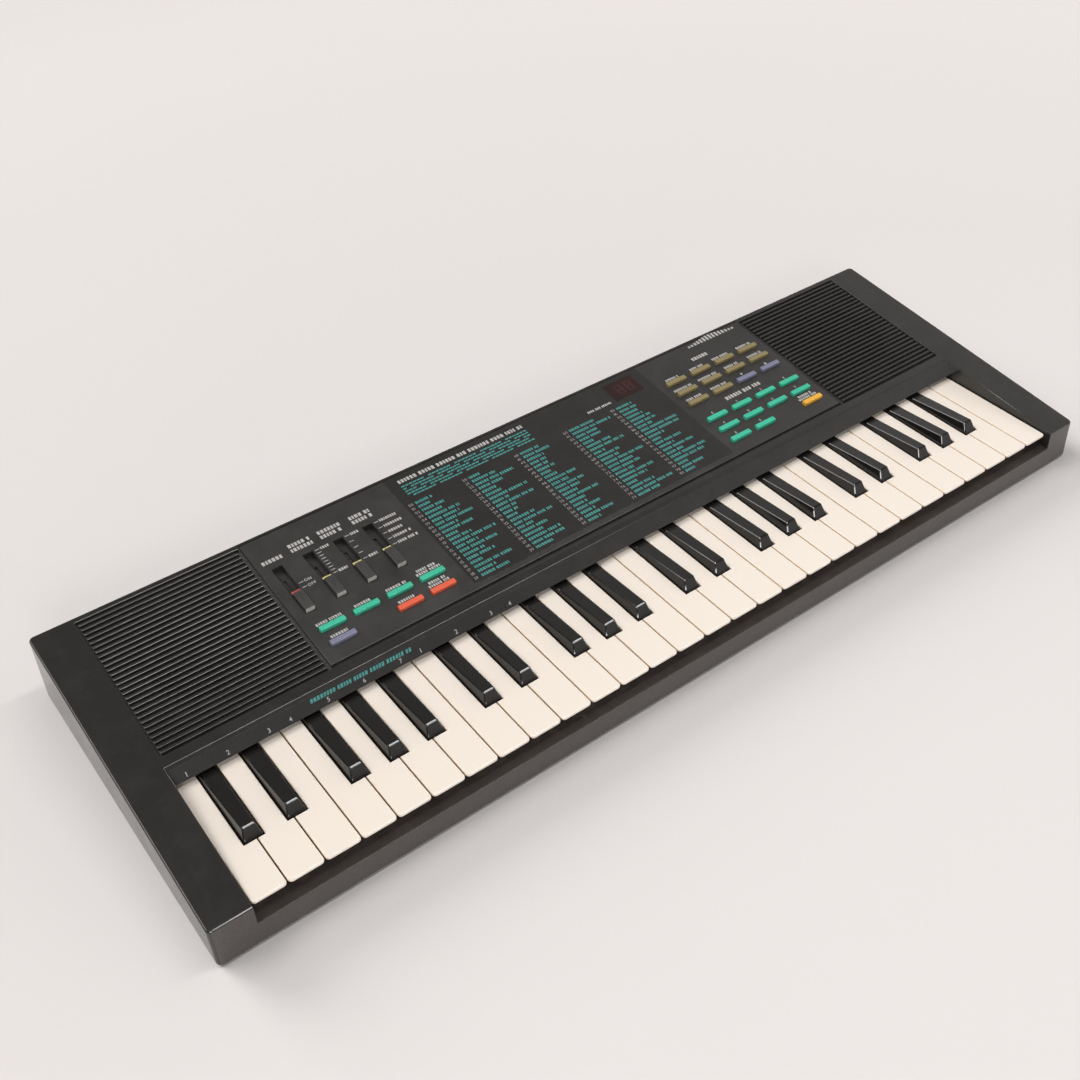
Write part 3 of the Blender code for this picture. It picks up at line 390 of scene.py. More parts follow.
def offset(outline, distance):
    """The outline, counter-clockwise, moved inwards by a distance, as far as its corners allow."""
    moved = []
    count = len(outline)
    for index in range(count):
        before = Vector(outline[index - 1])
        here = Vector(outline[index])
        after = Vector(outline[(index + 1) % count])
        first = (here - before).normalized()
        second = (after - here).normalized()
        normal = Vector((-first.y - second.y, first.x + second.x))
        normal.normalize()
        share = max(normal.dot(Vector((-first.y, first.x))), 0.35)
        moved.append(tuple(here + normal * (distance / share)))
    return moved


def loft(work, rings):
    """Adds a closed body through rings of equally many points, first ring at the bottom."""
    layers = [[work.verts.new(point) for point in ring] for ring in rings]
    count = len(layers[0])
    work.faces.new(list(reversed(layers[0])))
    work.faces.new(layers[-1])
    for low, high in zip(layers, layers[1:]):
        for index in range(count):
            after = (index + 1) % count
            work.faces.new((low[index], low[after], high[after], high[index]))


def slab(work, outline, low, high, radius=0.0, steps=4, foot=0.0, place=PANEL_FRAME):
    """Adds a prism with a rounded upper rim, and a rounded lower rim if foot is given."""
    levels = []
    if foot:
        for step in range(steps):
            turn = math.pi / 2 * step / steps
            levels.append((foot * (1 - math.sin(turn)), low + foot * (1 - math.cos(turn))))
    levels.append((0.0, low + foot))
    if radius:
        for step in range(steps + 1):
            turn = math.pi / 2 * step / steps
            levels.append((radius * (1 - math.cos(turn)), high - radius + radius * math.sin(turn)))
    else:
        levels.append((0.0, high))
    loft(work, [[place @ Vector((x, y, z)) for x, y in offset(outline, inset)] for inset, z in levels])


def rectangle(x_low, x_high, y_low, y_high):
    return [(x_low, y_low), (x_high, y_low), (x_high, y_high), (x_low, y_high)]


def rounded(x_low, x_high, y_low, y_high, radius, steps=5):
    """A rectangle with round corners, counter-clockwise."""
    corners = ((x_low + radius, y_low + radius, math.pi), (x_high - radius, y_low + radius, 1.5 * math.pi),
               (x_high - radius, y_high - radius, 0.0), (x_low + radius, y_high - radius, 0.5 * math.pi))
    return [(x + radius * math.cos(start + math.pi / 2 * step / steps),
             y + radius * math.sin(start + math.pi / 2 * step / steps))
            for x, y, start in corners for step in range(steps + 1)]


def circle(x, y, radius, sides=32):
    turns = [2 * math.pi * side / sides for side in range(sides)]
    return [(x + radius * math.cos(turn), y + radius * math.sin(turn)) for turn in turns]


def cross(x, y, reach, half):
    """The outline of a plus sign, counter-clockwise."""
    arm = ((-half, -reach), (half, -reach), (half, -half))
    outline = []
    for turn_x, turn_y in ((1, 0), (0, 1), (-1, 0), (0, -1)):
        outline += [(x + px * turn_x - py * turn_y, y + px * turn_y + py * turn_x) for px, py in arm]
    return outline


def show(name, data):
    """A new object of the scene."""
    made = bpy.data.objects.new(name, data)
    bpy.context.collection.objects.link(made)
    return made


def as_object(name, work):
    """An object out of a bmesh, which is used up."""
    bmesh.ops.recalc_face_normals(work, faces=work.faces)
    mesh = bpy.data.meshes.new(name)
    work.to_mesh(mesh)
    work.free()
    return show(name, mesh)


def piece(name, work, material, body, replaced=(), weight=50):
    """An object out of a bmesh that rides on a body."""
    made = as_object(name, work)
    made.data.shade_smooth()
    made.data.set_sharp_from_angle(angle=SMOOTH_ANGLE)
    made.data.materials.append(material)
    normals = made.modifiers.new("normals", 'WEIGHTED_NORMAL')
    normals.keep_sharp = True
    normals.weight = weight
    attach(made, body)
    if replaced:
        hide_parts(*replaced)
    return made


def combine(target, tool, operation):
    """Cuts or welds one bmesh with another, and returns the result."""
    objects = [as_object("target", target), as_object("tool", tool)]
    change = objects[0].modifiers.new("combine", 'BOOLEAN')
    change.operation = operation
    change.solver = 'EXACT'
    change.object = objects[1]
    shape = objects[0].evaluated_get(bpy.context.evaluated_depsgraph_get())
    result = bmesh.new()
    result.from_mesh(shape.to_mesh())
    for made in objects:
        bpy.data.objects.remove(made)
    return result


def refined(node):
    """A welded copy of a CAD node's mesh, with flat faces made whole again."""
    work = bmesh.new()
    work.from_mesh(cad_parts[node].data)
    bmesh.ops.remove_doubles(work, verts=work.verts, dist=WELD_GAP)
    bmesh.ops.dissolve_limit(work, angle_limit=FLAT_ANGLE, verts=work.verts, edges=work.edges,
                             delimit={'NORMAL'})
    return work


def soften(work, width, steps, chosen):
    """Rounds the sharp outer edges whose two ends pass the test."""
    edges = [edge for edge in work.edges
             if len(edge.link_faces) == 2 and edge.is_convex and edge.calc_face_angle() > SHARP_ANGLE
             and chosen(*[vert.co for vert in edge.verts])]
    bmesh.ops.bevel(work, geom=edges, offset=width, segments=steps, affect='EDGES', profile=0.5,
                    clamp_overlap=True)


# Case and panel

RIB_ROUND = 0.24 * MM
RIM_ROUND = 0.35 * MM
PANEL_ROUND = 0.45 * MM
HOLE_ROUND = 0.22 * MM
TINY = 0.03 * MM
GRILLE_FRONT = PANEL_FRONT_UP - 3 * MM
FRONT_EDGE_LEAN = (math.radians(15), math.radians(24))
FRONT_EDGE_DEPTH = 4 * MM


def in_grille(place, deep=MM, margin=0.0):
    """Whether a point is between the ribs of a grille or on them."""
    local = PANEL_INVERSE @ place
    return (-RIB_DEPTH - deep < local.z < TINY and GRILLE_FRONT < local.y < PANEL_REAR_UP
            and any(left - margin < local.x < right + margin for left, right in GRILLES))


def on_grille(*ends):
    """Whether an edge is an upper edge of a grille or its ribs, or an upright corner of a rib."""
    return (max((PANEL_INVERSE @ co).z for co in ends) >= -TINY
            and all(in_grille(co, TINY, TINY) for co in ends))


def on_front_edge(face):
    """Whether a face is the upper facet of the front edge of a cheek, which catches the light."""
    lean = math.atan2(-face.normal.y, face.normal.z)
    return (abs(face.normal.x) < 0.05 and FRONT_EDGE_LEAN[0] < lean < FRONT_EDGE_LEAN[1]
            and face.center.y < FRONT_Y + FRONT_EDGE_DEPTH and abs(face.center.x) > RECESS_HALF)


def on_recess(*ends):
    """Whether an edge is on the rims of the key recess."""
    return all(co.z > LIP_TOP - TINY and FRONT_Y - TINY < co.y < FRONT_Y + WALL_TOP[0] + TINY
               and abs(co.x) < RECESS_HALF + TINY for co in ends)


def make_case():
    work = refined("upper_case")
    soften(work, RIB_ROUND, 2, on_grille)
    soften(work, RIM_ROUND, 3, on_recess)
    shell = piece("case_shell", work, case_plastic, "case", ("upper_case",))
    for face in shell.data.polygons:
        if in_grille(face.center) or on_front_edge(face):
            face.use_smooth = False


def make_panel():
    work = refined("control_panel")

    def on_top(*ends):
        return all(abs((PANEL_INVERSE @ co).z) < TINY for co in ends)

    def on_outline(*ends):
        return on_top(*ends) and all(min(local.x - PANEL_LEFT, PANEL_RIGHT - local.x) < TINY
                                     or min(local.y - PANEL_FRONT_UP, PANEL_REAR_UP - local.y) < 0.2 * MM
                                     for local in (PANEL_INVERSE @ co for co in ends))

    soften(work, PANEL_ROUND, 2, on_outline)
    soften(work, HOLE_ROUND, 2, on_top)
    piece("panel_plate", work, panel_plastic, "case", ("control_panel",))


def keep_node(node, material, width):
    """A CAD node that stays, with its own finish and slightly broken edges."""
    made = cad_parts[node]
    made.data.materials.clear()
    made.data.materials.append(material)
    weld = made.modifiers.new("weld", 'WELD')
    weld.merge_threshold = WELD_GAP
    flat = made.modifiers.new("flat", 'DECIMATE')
    flat.decimate_type = 'DISSOLVE'
    flat.angle_limit = FLAT_ANGLE
    edges = made.modifiers.new("edges", 'BEVEL')
    edges.width = width
    edges.segments = 2
    edges.limit_method = 'ANGLE'
    edges.angle_limit = SHARP_ANGLE
    normals = made.modifiers.new("normals", 'WEIGHTED_NORMAL')
    normals.keep_sharp = True


# Keys

KEY_PLATE = 1.6 * MM
KEY_CORNER = 2.2 * MM
KEY_CORNER_STEPS = 7
KEY_ROUND = 0.7 * MM
KEY_FOOT_ROUND = 0.35 * MM
PIVOT_STATION = 112.0 * MM
PIVOT_Z = 20.3 * MM
NOSE_RADIUS = 1.6 * MM
SPINE_BOTTOM = 17.0 * MM
SPINE_WIDTH = 6.0 * MM
SPINE_FRONT = 14.0 * MM
SPINE_START = 4.0 * MM
KEY_RAMP = 8.0 * MM


def hinge_profile():
    """Side view of the rear of a key: the ramp down to the round nose on the hinge, and back."""
    steps = 12
    nose = [(PIVOT_STATION + NOSE_RADIUS * math.sin(math.pi * step / steps),
             PIVOT_Z - NOSE_RADIUS * math.cos(math.pi * step / steps)) for step in range(steps + 1)]
    return [(PIVOT_STATION - KEY_RAMP, SPINE_BOTTOM),
            (PIVOT_STATION - 2 * NOSE_RADIUS, PIVOT_Z - NOSE_RADIUS)] + nose


def side_body(profile, x_low, x_high):
    """A bmesh of a prism along X with a profile of stations and heights."""
    work = bmesh.new()
    loft(work, [[Vector((x, FRONT_Y + station, z)) for station, z in profile] for x in (x_low, x_high)])
    return work


def make_white_key(number):
    node = f"white_key_{number:02d}"
    top = [vert.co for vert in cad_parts[node].data.vertices if vert.co.z > KEY_TOP - TINY]
    front = min(co.y for co in top)
    rear = max(co.y for co in top)
    left = min(co.x for co in top)
    right = max(co.x for co in top)
    tail_left = min(co.x for co in top if co.y > rear - TINY)
    tail_right = max(co.x for co in top if co.y > rear - TINY)
    notch = min((co.y for co in top if front + 2 * KEY_CORNER < co.y < rear - TINY), default=rear)
    outline = rounded(left, right, front, rear, KEY_CORNER, KEY_CORNER_STEPS)[:2 * (KEY_CORNER_STEPS + 1)]
    if tail_right < right - TINY:
        outline += [(right, notch), (tail_right, notch)]
    outline += [(tail_right, rear), (tail_left, rear)]
    if tail_left > left + TINY:
        outline += [(tail_left, notch), (left, notch)]
    plate = bmesh.new()
    slab(plate, outline, KEY_TOP - KEY_PLATE, KEY_TOP, KEY_ROUND, 4, KEY_FOOT_ROUND, WORLD_FRAME)
    profile = [(SPINE_FRONT, KEY_TOP - KEY_PLATE / 2), (SPINE_FRONT, SPINE_BOTTOM + SPINE_START),
               (SPINE_FRONT + SPINE_START, SPINE_BOTTOM)] + hinge_profile()
    profile += [(KEY_REAR, PIVOT_Z + NOSE_RADIUS), (KEY_REAR - KEY_ROUND, KEY_TOP - KEY_PLATE / 2)]
    middle = (tail_left + tail_right) / 2
    work = combine(plate, side_body(profile, middle - SPINE_WIDTH / 2, middle + SPINE_WIDTH / 2), 'UNION')
    piece(f"ivory_{number:02d}", work, ivory, node, (node,))


BLACK_FRONT = 36.8 * MM
BLACK_HALF = 5.15 * MM
BLACK_TOP_HALF = 3.5 * MM
BLACK_TOP_HALF_REAR = 4.5 * MM
BLACK_RISE = 5.9 * MM
BLACK_RISE_REAR = 1.25 * MM
BLACK_NOSE_RUN = 4.0 * MM
BLACK_EDGE = 0.45 * MM
BLACK_LIP_TOP = 0.85 * MM
BLACK_LIP_SIDE = 0.7 * MM
BLACK_CORNER = 0.6 * MM
BLACK_CORNER_TOP = 0.35 * MM
BLACK_BLEND = 0.13 * MM
BLACK_WAIST = 0.2
BLACK_WAIST_IN = 0.35
BLACK_TAIL_HALF = 4.0 * MM
BLACK_TAIL_AHEAD = 2 * MM
BLACK_WEIGHT = 90


def turned(before, corner, after):
    """Three points that take a corner of a path in a small curve."""
    start = corner + (before - corner).normalized() * BLACK_BLEND
    end = corner + (after - corner).normalized() * BLACK_BLEND
    return [start, (start + 2 * corner + end) / 4, end]


def key_plan(front_half, rear_half, front, rear, corner):
    """A plan with cut and slightly rounded front corners, as x and stations."""
    left = [Vector((-front_half, rear)), Vector((-front_half, front + corner)),
            Vector((-front_half + corner, front)), Vector((0.0, front))]
    half = turned(*left[:3]) + turned(*left[1:])
    plan = half + [Vector((-point.x, point.y)) for point in reversed(half)]
    return [tuple(point) for point in plan] + [(rear_half, rear), (-rear_half, rear)]


def make_black_key(number):
    """A tapered black key with flat narrow bevels round its top and down its front corners."""
    node = f"black_key_{number:02d}"
    low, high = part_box(node)
    x = (low.x + high.x) / 2
    fall = (BLACK_RISE_REAR - BLACK_RISE) / (KEY_REAR - BLACK_FRONT - BLACK_NOSE_RUN)

    def top_point(px, station):
        return Vector((x + px, FRONT_Y + station,
                       KEY_TOP + BLACK_RISE + (station - BLACK_FRONT - BLACK_NOSE_RUN) * fall))

    top_front = BLACK_FRONT + BLACK_NOSE_RUN
    base = key_plan(BLACK_HALF, BLACK_HALF, BLACK_FRONT, KEY_REAR, BLACK_CORNER)
    top = key_plan(BLACK_TOP_HALF, BLACK_TOP_HALF_REAR, top_front, KEY_REAR, BLACK_CORNER)
    inner = key_plan(BLACK_TOP_HALF - BLACK_EDGE, BLACK_TOP_HALF_REAR - BLACK_EDGE,
                     top_front + BLACK_LIP_TOP, KEY_REAR, BLACK_CORNER_TOP)
    foot = [Vector((x + px, FRONT_Y + station, SPINE_BOTTOM)) for px, station in base]
    side = [Vector((x + px, FRONT_Y + station, KEY_TOP)) for px, station in base]
    columns = []
    for below, (px, station), (inner_x, inner_station) in zip(side, top, inner):
        edge = top_point(px, station)
        crown = top_point(inner_x, inner_station)
        rise = edge - below
        waist = below + Vector((rise.x * BLACK_WAIST_IN, rise.y * BLACK_WAIST_IN, rise.z * BLACK_WAIST))
        ahead = min(max((top_front + BLACK_CORNER - station) / BLACK_CORNER, 0.0), 1.0)
        drop = BLACK_EDGE + (BLACK_LIP_SIDE - BLACK_EDGE) * ahead
        ledge = edge + (waist - edge).normalized() * drop
        inward = crown + (crown - edge)
        columns.append([waist] + turned(waist, ledge, crown) + turned(ledge, crown, inward))
    body = bmesh.new()
    loft(body, [foot, side] + [list(ring) for ring in zip(*columns)])
    station = KEY_REAR - BLACK_TAIL_AHEAD
    profile = [(station, PIVOT_Z + NOSE_RADIUS), (station, SPINE_BOTTOM)]
    tail = side_body(profile + hinge_profile(), x - BLACK_TAIL_HALF, x + BLACK_TAIL_HALF)
    work = combine(body, tail, 'UNION')
    piece(f"ebony_{number:02d}", work, piano_black, node, (node,), BLACK_WEIGHT)


# Push buttons

BUTTON_PITCH = 21.45 * MM
BUTTON_ROW = 11.1 * MM
BUTTON_HALF_X = 7.9 * MM
BUTTON_HALF_Y = 1.7 * MM
BUTTON_RISE = 2.0 * MM
WEB_TOP = -3.3 * MM
WEB_BOTTOM = -4.5 * MM
WEB_MARGIN = 2.0 * MM
WEB_EDGE = 0.3 * MM
BUTTON_CORNER = 0.5 * MM
BUTTON_EDGE = 0.35 * MM
CAP_SUNK = 0.3 * MM
LEFT_X = -176.0 * MM
RIGHT_X = 115.6 * MM
LOW_ROW = 111.9 * MM
UPPER_ROW = 152.2 * MM
# Rows of each block from the front, as the colour of each column
LEFT_CAPS = (("lilac", None, "orange", "orange"), ("green",) * 4)
RIGHT_CAPS = (("green", "green", None, "amber"), ("green",) * 4, ("green",) * 4)
UPPER_CAPS = (("olive", "olive", "lilac", "lilac"), ("olive",) * 4, ("olive",) * 4)
BLOCKS = ((LEFT_X, LOW_ROW, LEFT_CAPS), (RIGHT_X, LOW_ROW, RIGHT_CAPS), (RIGHT_X, UPPER_ROW, UPPER_CAPS))


def button_places():
    """All buttons, as colour, x and distance up the slope."""
    return [(tone, x + column * BUTTON_PITCH, up(station + row * BUTTON_ROW))
            for x, station, rows in BLOCKS for row, caps in enumerate(rows)
            for column, tone in enumerate(caps) if tone]


def make_buttons():
    for tone in CAP_TONES:
        work = bmesh.new()
        for name, x, y in button_places():
            if name == tone:
                outline = rounded(x - BUTTON_HALF_X, x + BUTTON_HALF_X, y - BUTTON_HALF_Y,
                                  y + BUTTON_HALF_Y, BUTTON_CORNER)
                slab(work, outline, WEB_TOP - CAP_SUNK, BUTTON_RISE, BUTTON_EDGE, 3)
        replaced = ("button_set",) if tone == "green" else ()
        piece(f"caps_{tone}", work, cap_plastic[tone], "button_set", replaced)
    work = bmesh.new()
    left = LEFT_X - BUTTON_HALF_X - WEB_MARGIN
    right = RIGHT_X + 3 * BUTTON_PITCH + BUTTON_HALF_X + WEB_MARGIN
    inner_left = LEFT_X + 3 * BUTTON_PITCH + BUTTON_HALF_X + WEB_MARGIN
    inner_right = RIGHT_X - BUTTON_HALF_X - WEB_MARGIN
    front = up(LOW_ROW) - BUTTON_HALF_Y - WEB_MARGIN
    rear = up(LOW_ROW + BUTTON_ROW) + BUTTON_HALF_Y + WEB_MARGIN
    top = up(UPPER_ROW + 2 * BUTTON_ROW) + BUTTON_HALF_Y + WEB_MARGIN
    bridge = front + BUTTON_ROW / 2
    outline = [(left, front), (right, front), (right, top), (inner_right, top), (inner_right, bridge),
               (inner_left, bridge), (inner_left, rear), (left, rear)]
    slab(work, outline, WEB_BOTTOM, WEB_TOP, WEB_EDGE, 3)
    piece("button_web", work, web_rubber, "button_set")


# Slide knobs

SLIDER_NAMES = ("power_slider", "master_volume_slider", "accompaniment_volume_slider", "mode_slider")
SLIDER_FIRST_X = -180.7 * MM
SLIDER_PITCH = 19.6 * MM
SLOT_FRONT = 137.5 * MM
KNOB_HALF = 2.9 * MM
KNOB_GAP = 0.4 * MM
KNOB_LENGTH = 14.5 * MM
KNOB_TAB = 2.7 * MM
KNOB_RISE = 2.8 * MM
KNOB_RIDGE = 0.16 * MM
KNOB_TAB_RISE = 0.5 * MM
KNOB_FLOOR = -4.1 * MM
STEM_BOTTOM = -5.4 * MM
KNOB_LEAN = 0.5 * MM
RIDGES = 12
RIDGE_FIRST = 2.0 * MM
RIDGE_PITCH = (KNOB_LENGTH - 3.2 * MM) / RIDGES


def make_knob(index, name):
    """A slide knob: a textured block with a smooth paler front end, and a low tab with a coloured line."""
    x = SLIDER_FIRST_X + index * SLIDER_PITCH
    front = up(SLOT_FRONT) + KNOB_GAP
    rear = front + KNOB_LENGTH
    half = KNOB_HALF
    work = bmesh.new()
    body = rounded(x - half, x + half, front + KNOB_LEAN, rear, 0.35 * MM, 3)
    slab(work, body, KNOB_FLOOR, KNOB_RISE - KNOB_RIDGE, 0.3 * MM, 3)
    tab = rounded(x - half, x + half, rear - 1.0 * MM, rear + KNOB_TAB, 0.3 * MM, 3)
    slab(work, tab, KNOB_FLOOR, KNOB_TAB_RISE, 0.15 * MM, 2)
    stem = rectangle(x - 0.5 * MM, x + 0.5 * MM, front + 5.25 * MM, front + 9.25 * MM)
    slab(work, stem, STEM_BOTTOM, KNOB_FLOOR + 0.2 * MM)
    for ridge in range(RIDGES):
        middle = front + RIDGE_FIRST + (ridge + 0.5) * RIDGE_PITCH
        outline = rectangle(x - half + 0.55 * MM, x + half - 0.55 * MM, middle - 0.2 * MM, middle + 0.2 * MM)
        slab(work, outline, KNOB_RISE - 2 * KNOB_RIDGE, KNOB_RISE, 0.1 * MM, 2)
    piece(f"{name}_knob", work, knob_plastic, name, (name,))
    end = bmesh.new()
    back = front + KNOB_LEAN
    profile = [(front, 0.0), (back + 0.2 * MM, 0.0), (back + 0.2 * MM, KNOB_RISE - 0.5 * MM),
               (back - 0.1 * MM, KNOB_RISE - 0.35 * MM), (front, KNOB_RISE - 1.2 * MM)]
    loft(end, [[PANEL_FRAME @ Vector((px, y, z)) for y, z in profile]
               for px in (x - half + 0.15 * MM, x + half - 0.15 * MM)])
    piece(f"{name}_end", end, knob_end_plastic, name)
    line = bmesh.new()
    stripe = rectangle(x - half + 0.1 * MM, x + half - 0.1 * MM, rear + 0.9 * MM, rear + 2.3 * MM)
    slab(line, stripe, KNOB_TAB_RISE - 0.1 * MM, KNOB_TAB_RISE + 0.04 * MM)
    piece(f"{name}_line", line, red_ink if index == 0 else yellow_ink, name)


# Printing

PRINT = 0.05 * MM
SUNK = 0.02 * MM
SHEET_TOP = 0.1 * MM
WINDOW_TOP = SHEET_TOP + 0.12 * MM
STRIP_TOP = 0.12 * MM
# Widths of the gaps, and of the blocks in place of letters, as shares of their height
LETTER_GAP = 0.2
BLOCK_GAP = 0.24
WORD_GAP = 0.45
BLOCKS_WIDE = (0.42, 0.55, 0.62, 0.68)


def bar(work, x_low, x_high, y_low, y_high, level=0.0, slant=0.0, place=PANEL_FRAME):
    """A thin printed bar on a surface, leaning to the right by slant."""
    outline = [(x_low, y_low), (x_high, y_low), (x_high + slant, y_high), (x_low + slant, y_high)]
    slab(work, outline, level - SUNK, level + PRINT, place=place)


def glyph(text):
    """Mesh of a plain character, one unit high, standing at the origin: vertices, faces and width."""
    font = bpy.data.curves.new("glyph", 'FONT')
    font.body = text
    font.resolution_u = 3
    font.extrude = 0.5
    font.offset = 0.006
    held = show("glyph", font)
    shape = held.evaluated_get(bpy.context.evaluated_depsgraph_get())
    work = bmesh.new()
    work.from_mesh(shape.to_mesh())
    bpy.data.objects.remove(held)
    bmesh.ops.remove_doubles(work, verts=work.verts, dist=1e-5)
    xs = [vert.co.x for vert in work.verts]
    ys = [vert.co.y for vert in work.verts]
    size = max(ys) - min(ys)
    verts = [((vert.co.x - min(xs)) / size, (vert.co.y - min(ys)) / size, vert.co.z > 0)
             for vert in work.verts]
    work.verts.index_update()
    faces = [[vert.index for vert in face.verts] for face in work.faces]
    work.free()
    return verts, faces, (max(xs) - min(xs)) / size


GLYPHS = {character: glyph(character) for character in "0123456789ONF"}


def write(work, text, x, y, height, level=0.0, centred=False, place=PANEL_FRAME):
    """Plain characters, from their lower left corner or about their middle."""
    if centred:
        widths = [GLYPHS[character][2] for character in text]
        x -= (sum(widths) + LETTER_GAP * (len(text) - 1)) * height / 2
    for character in text:
        verts, faces, width = GLYPHS[character]
        made = [work.verts.new(place @ Vector((x + px * height, y + py * height,
                                               level + PRINT if raised else level - SUNK)))
                for px, py, raised in verts]
        for face in faces:
            work.faces.new([made[index] for index in face])
        x += (width + LETTER_GAP) * height


def words(work, x, y, length, height, draw, level=0.0, slant=0.0, place=PANEL_FRAME):
    """A line of small plain blocks that stands for a word or two."""
    end = x + length
    left = draw.randint(4, 8)
    while x < end - 0.3 * height:
        wide = min(height * draw.choice(BLOCKS_WIDE), end - x)
        bar(work, x, x + wide, y, y + height, level, slant, place)
        x += wide + BLOCK_GAP * height
        left -= 1
        if left == 0:
            x += WORD_GAP * height
            left = draw.randint(3, 7)


LIST_ROWS = 20
FIRST_ROW = 174.1 * MM
ROW_PITCH = 3.56 * MM
ROW_TEXT = 2.0 * MM
# Of each column, in mm: where its numbers and its names start, and the length of its longest name
LIST_COLUMNS = ((-93.3, -88.7, 30.5), (-54.9, -50.3, 27.5), (-16.4, -11.7, 25.0), (22.0, 26.7, 31.0),
                (60.4, 65.1, 29.0))
NAME_SHARES = (0.28, 0.4, 0.45, 0.5, 0.55, 0.62, 0.7, 0.85, 1.0)
WAVE_DASHES = 34
WAVE_ROWS = 5
WAVE_PITCH = 93.0 * MM / WAVE_DASHES


def make_list(draw):
    """The separate printed sheet: a hundred numbered lines, two headings, dashes and the display."""
    work = bmesh.new()
    sheet = rounded(-95.5 * MM, 101.5 * MM, up(104.0 * MM), up(200.2 * MM), 1.5 * MM)
    slab(work, sheet, -SUNK, SHEET_TOP, 0.08 * MM, 2)
    piece("list_sheet", work, sheet_film, "case")
    numbers = bmesh.new()
    names = bmesh.new()
    for column, (number_x, name_x, longest) in enumerate(LIST_COLUMNS):
        for row in range(LIST_ROWS):
            y = up(FIRST_ROW - row * ROW_PITCH)
            write(numbers, f"{column * LIST_ROWS + row:02d}", number_x * MM, y, ROW_TEXT, SHEET_TOP)
            length = longest * draw.choice(NAME_SHARES) * MM
            words(names, name_x * MM, y, length, ROW_TEXT, draw, SHEET_TOP)
    piece("list_numbers", numbers, print_dim, "case")
    piece("list_names", names, print_teal, "case")
    heading = bmesh.new()
    words(heading, -88.0 * MM, up(193.6 * MM), 92.0 * MM, 2.8 * MM, draw, SHEET_TOP)
    words(heading, 47.0 * MM, up(181.1 * MM), 19.0 * MM, 1.8 * MM, draw, SHEET_TOP)
    piece("list_headings", heading, print_grey, "case")
    wave = bmesh.new()
    for dash in range(WAVE_DASHES):
        for row in range(WAVE_ROWS):
            x = -88.7 * MM + dash * WAVE_PITCH
            y = up(181.0 * MM) + row * 2.3 * MM
            if (dash + 2 * row) % 7:
                bar(wave, x, x + 2.3 * MM, y, y + 1.1 * MM, SHEET_TOP, 0.4 * MM)
    piece("list_wave", wave, print_teal, "case")
    window = bmesh.new()
    outline = rounded(70.5 * MM, 94.0 * MM, up(181.0 * MM), up(197.0 * MM), 0.8 * MM, 4)
    slab(window, outline, 0.0, WINDOW_TOP, 0.1 * MM, 2)
    piece("display_window", window, window_red, "case")
    segments = bmesh.new()
    for x in (76.8 * MM, 84.6 * MM):
        seven_segments(segments, x, up(184.4 * MM), 4.6 * MM, 9.0 * MM)
    piece("display_segments", segments, segment_red, "case")


def seven_segments(work, x, y, width, height):
    """The seven dark bars of an unlit display digit."""
    thick = 0.8 * MM
    gap = 0.15 * MM
    half = height / 2
    for row in range(3):
        low = y + row * half - (thick / 2 if row == 1 else thick if row == 2 else 0.0)
        bar(work, x + thick + gap, x + width - thick - gap, low, low + thick, WINDOW_TOP)
    for side in (0.0, width - thick):
        for row in range(2):
            low = y + row * half + gap
            bar(work, x + side, x + side + thick, low, low + half - 2 * gap, WINDOW_TOP)


LOW_MARK = 154.7 * MM
HIGH_MARK = 174.8 * MM
# Of each label over a slot, in mm: where it starts, its length, and how many lines it has
SLIDER_LABELS = ((-186.5, 12.8, 1), (-168.0, 14.5, 2), (-149.0, 15.0, 2), (-128.0, 13.5, 2))


def make_slider_marks(draw):
    """Ticks and rows of blocks round the slots, and ON and OFF at the power switch."""
    marks = bmesh.new()
    for index, ticks in enumerate((0, 9, 5, 5)):
        x = SLIDER_FIRST_X + index * SLIDER_PITCH
        stations = [LOW_MARK + tick * (HIGH_MARK - LOW_MARK) / (ticks - 1) for tick in range(ticks)]
        if index == 0:
            stations = [LOW_MARK, LOW_MARK + 4.0 * MM]
        for station in stations:
            y = up(station)
            bar(marks, x + 4.4 * MM, x + 7.2 * MM, y - 0.22 * MM, y + 0.22 * MM)
        for station in stations if index == 3 else stations[::max(len(stations) - 1, 1)]:
            y = up(station)
            if index == 0:
                text = "OFF" if station == LOW_MARK else "ON"
                write(marks, text, x + 7.9 * MM, y - 1.0 * MM, 2.0 * MM)
            else:
                length = draw.uniform(6.0, 15.0) * MM if index == 3 else 5.6 * MM
                words(marks, x + 8.0 * MM, y - 0.95 * MM, length, 1.9 * MM, draw)
    for x, length, lines in SLIDER_LABELS:
        for line in range(lines):
            words(marks, x * MM, up((180.3 + 3.8 * line) * MM), length * MM, 2.7 * MM, draw)
    piece("slider_marks", marks, print_grey, "case")


LABEL_UP = 3.1 * MM
METER_BARS = 15


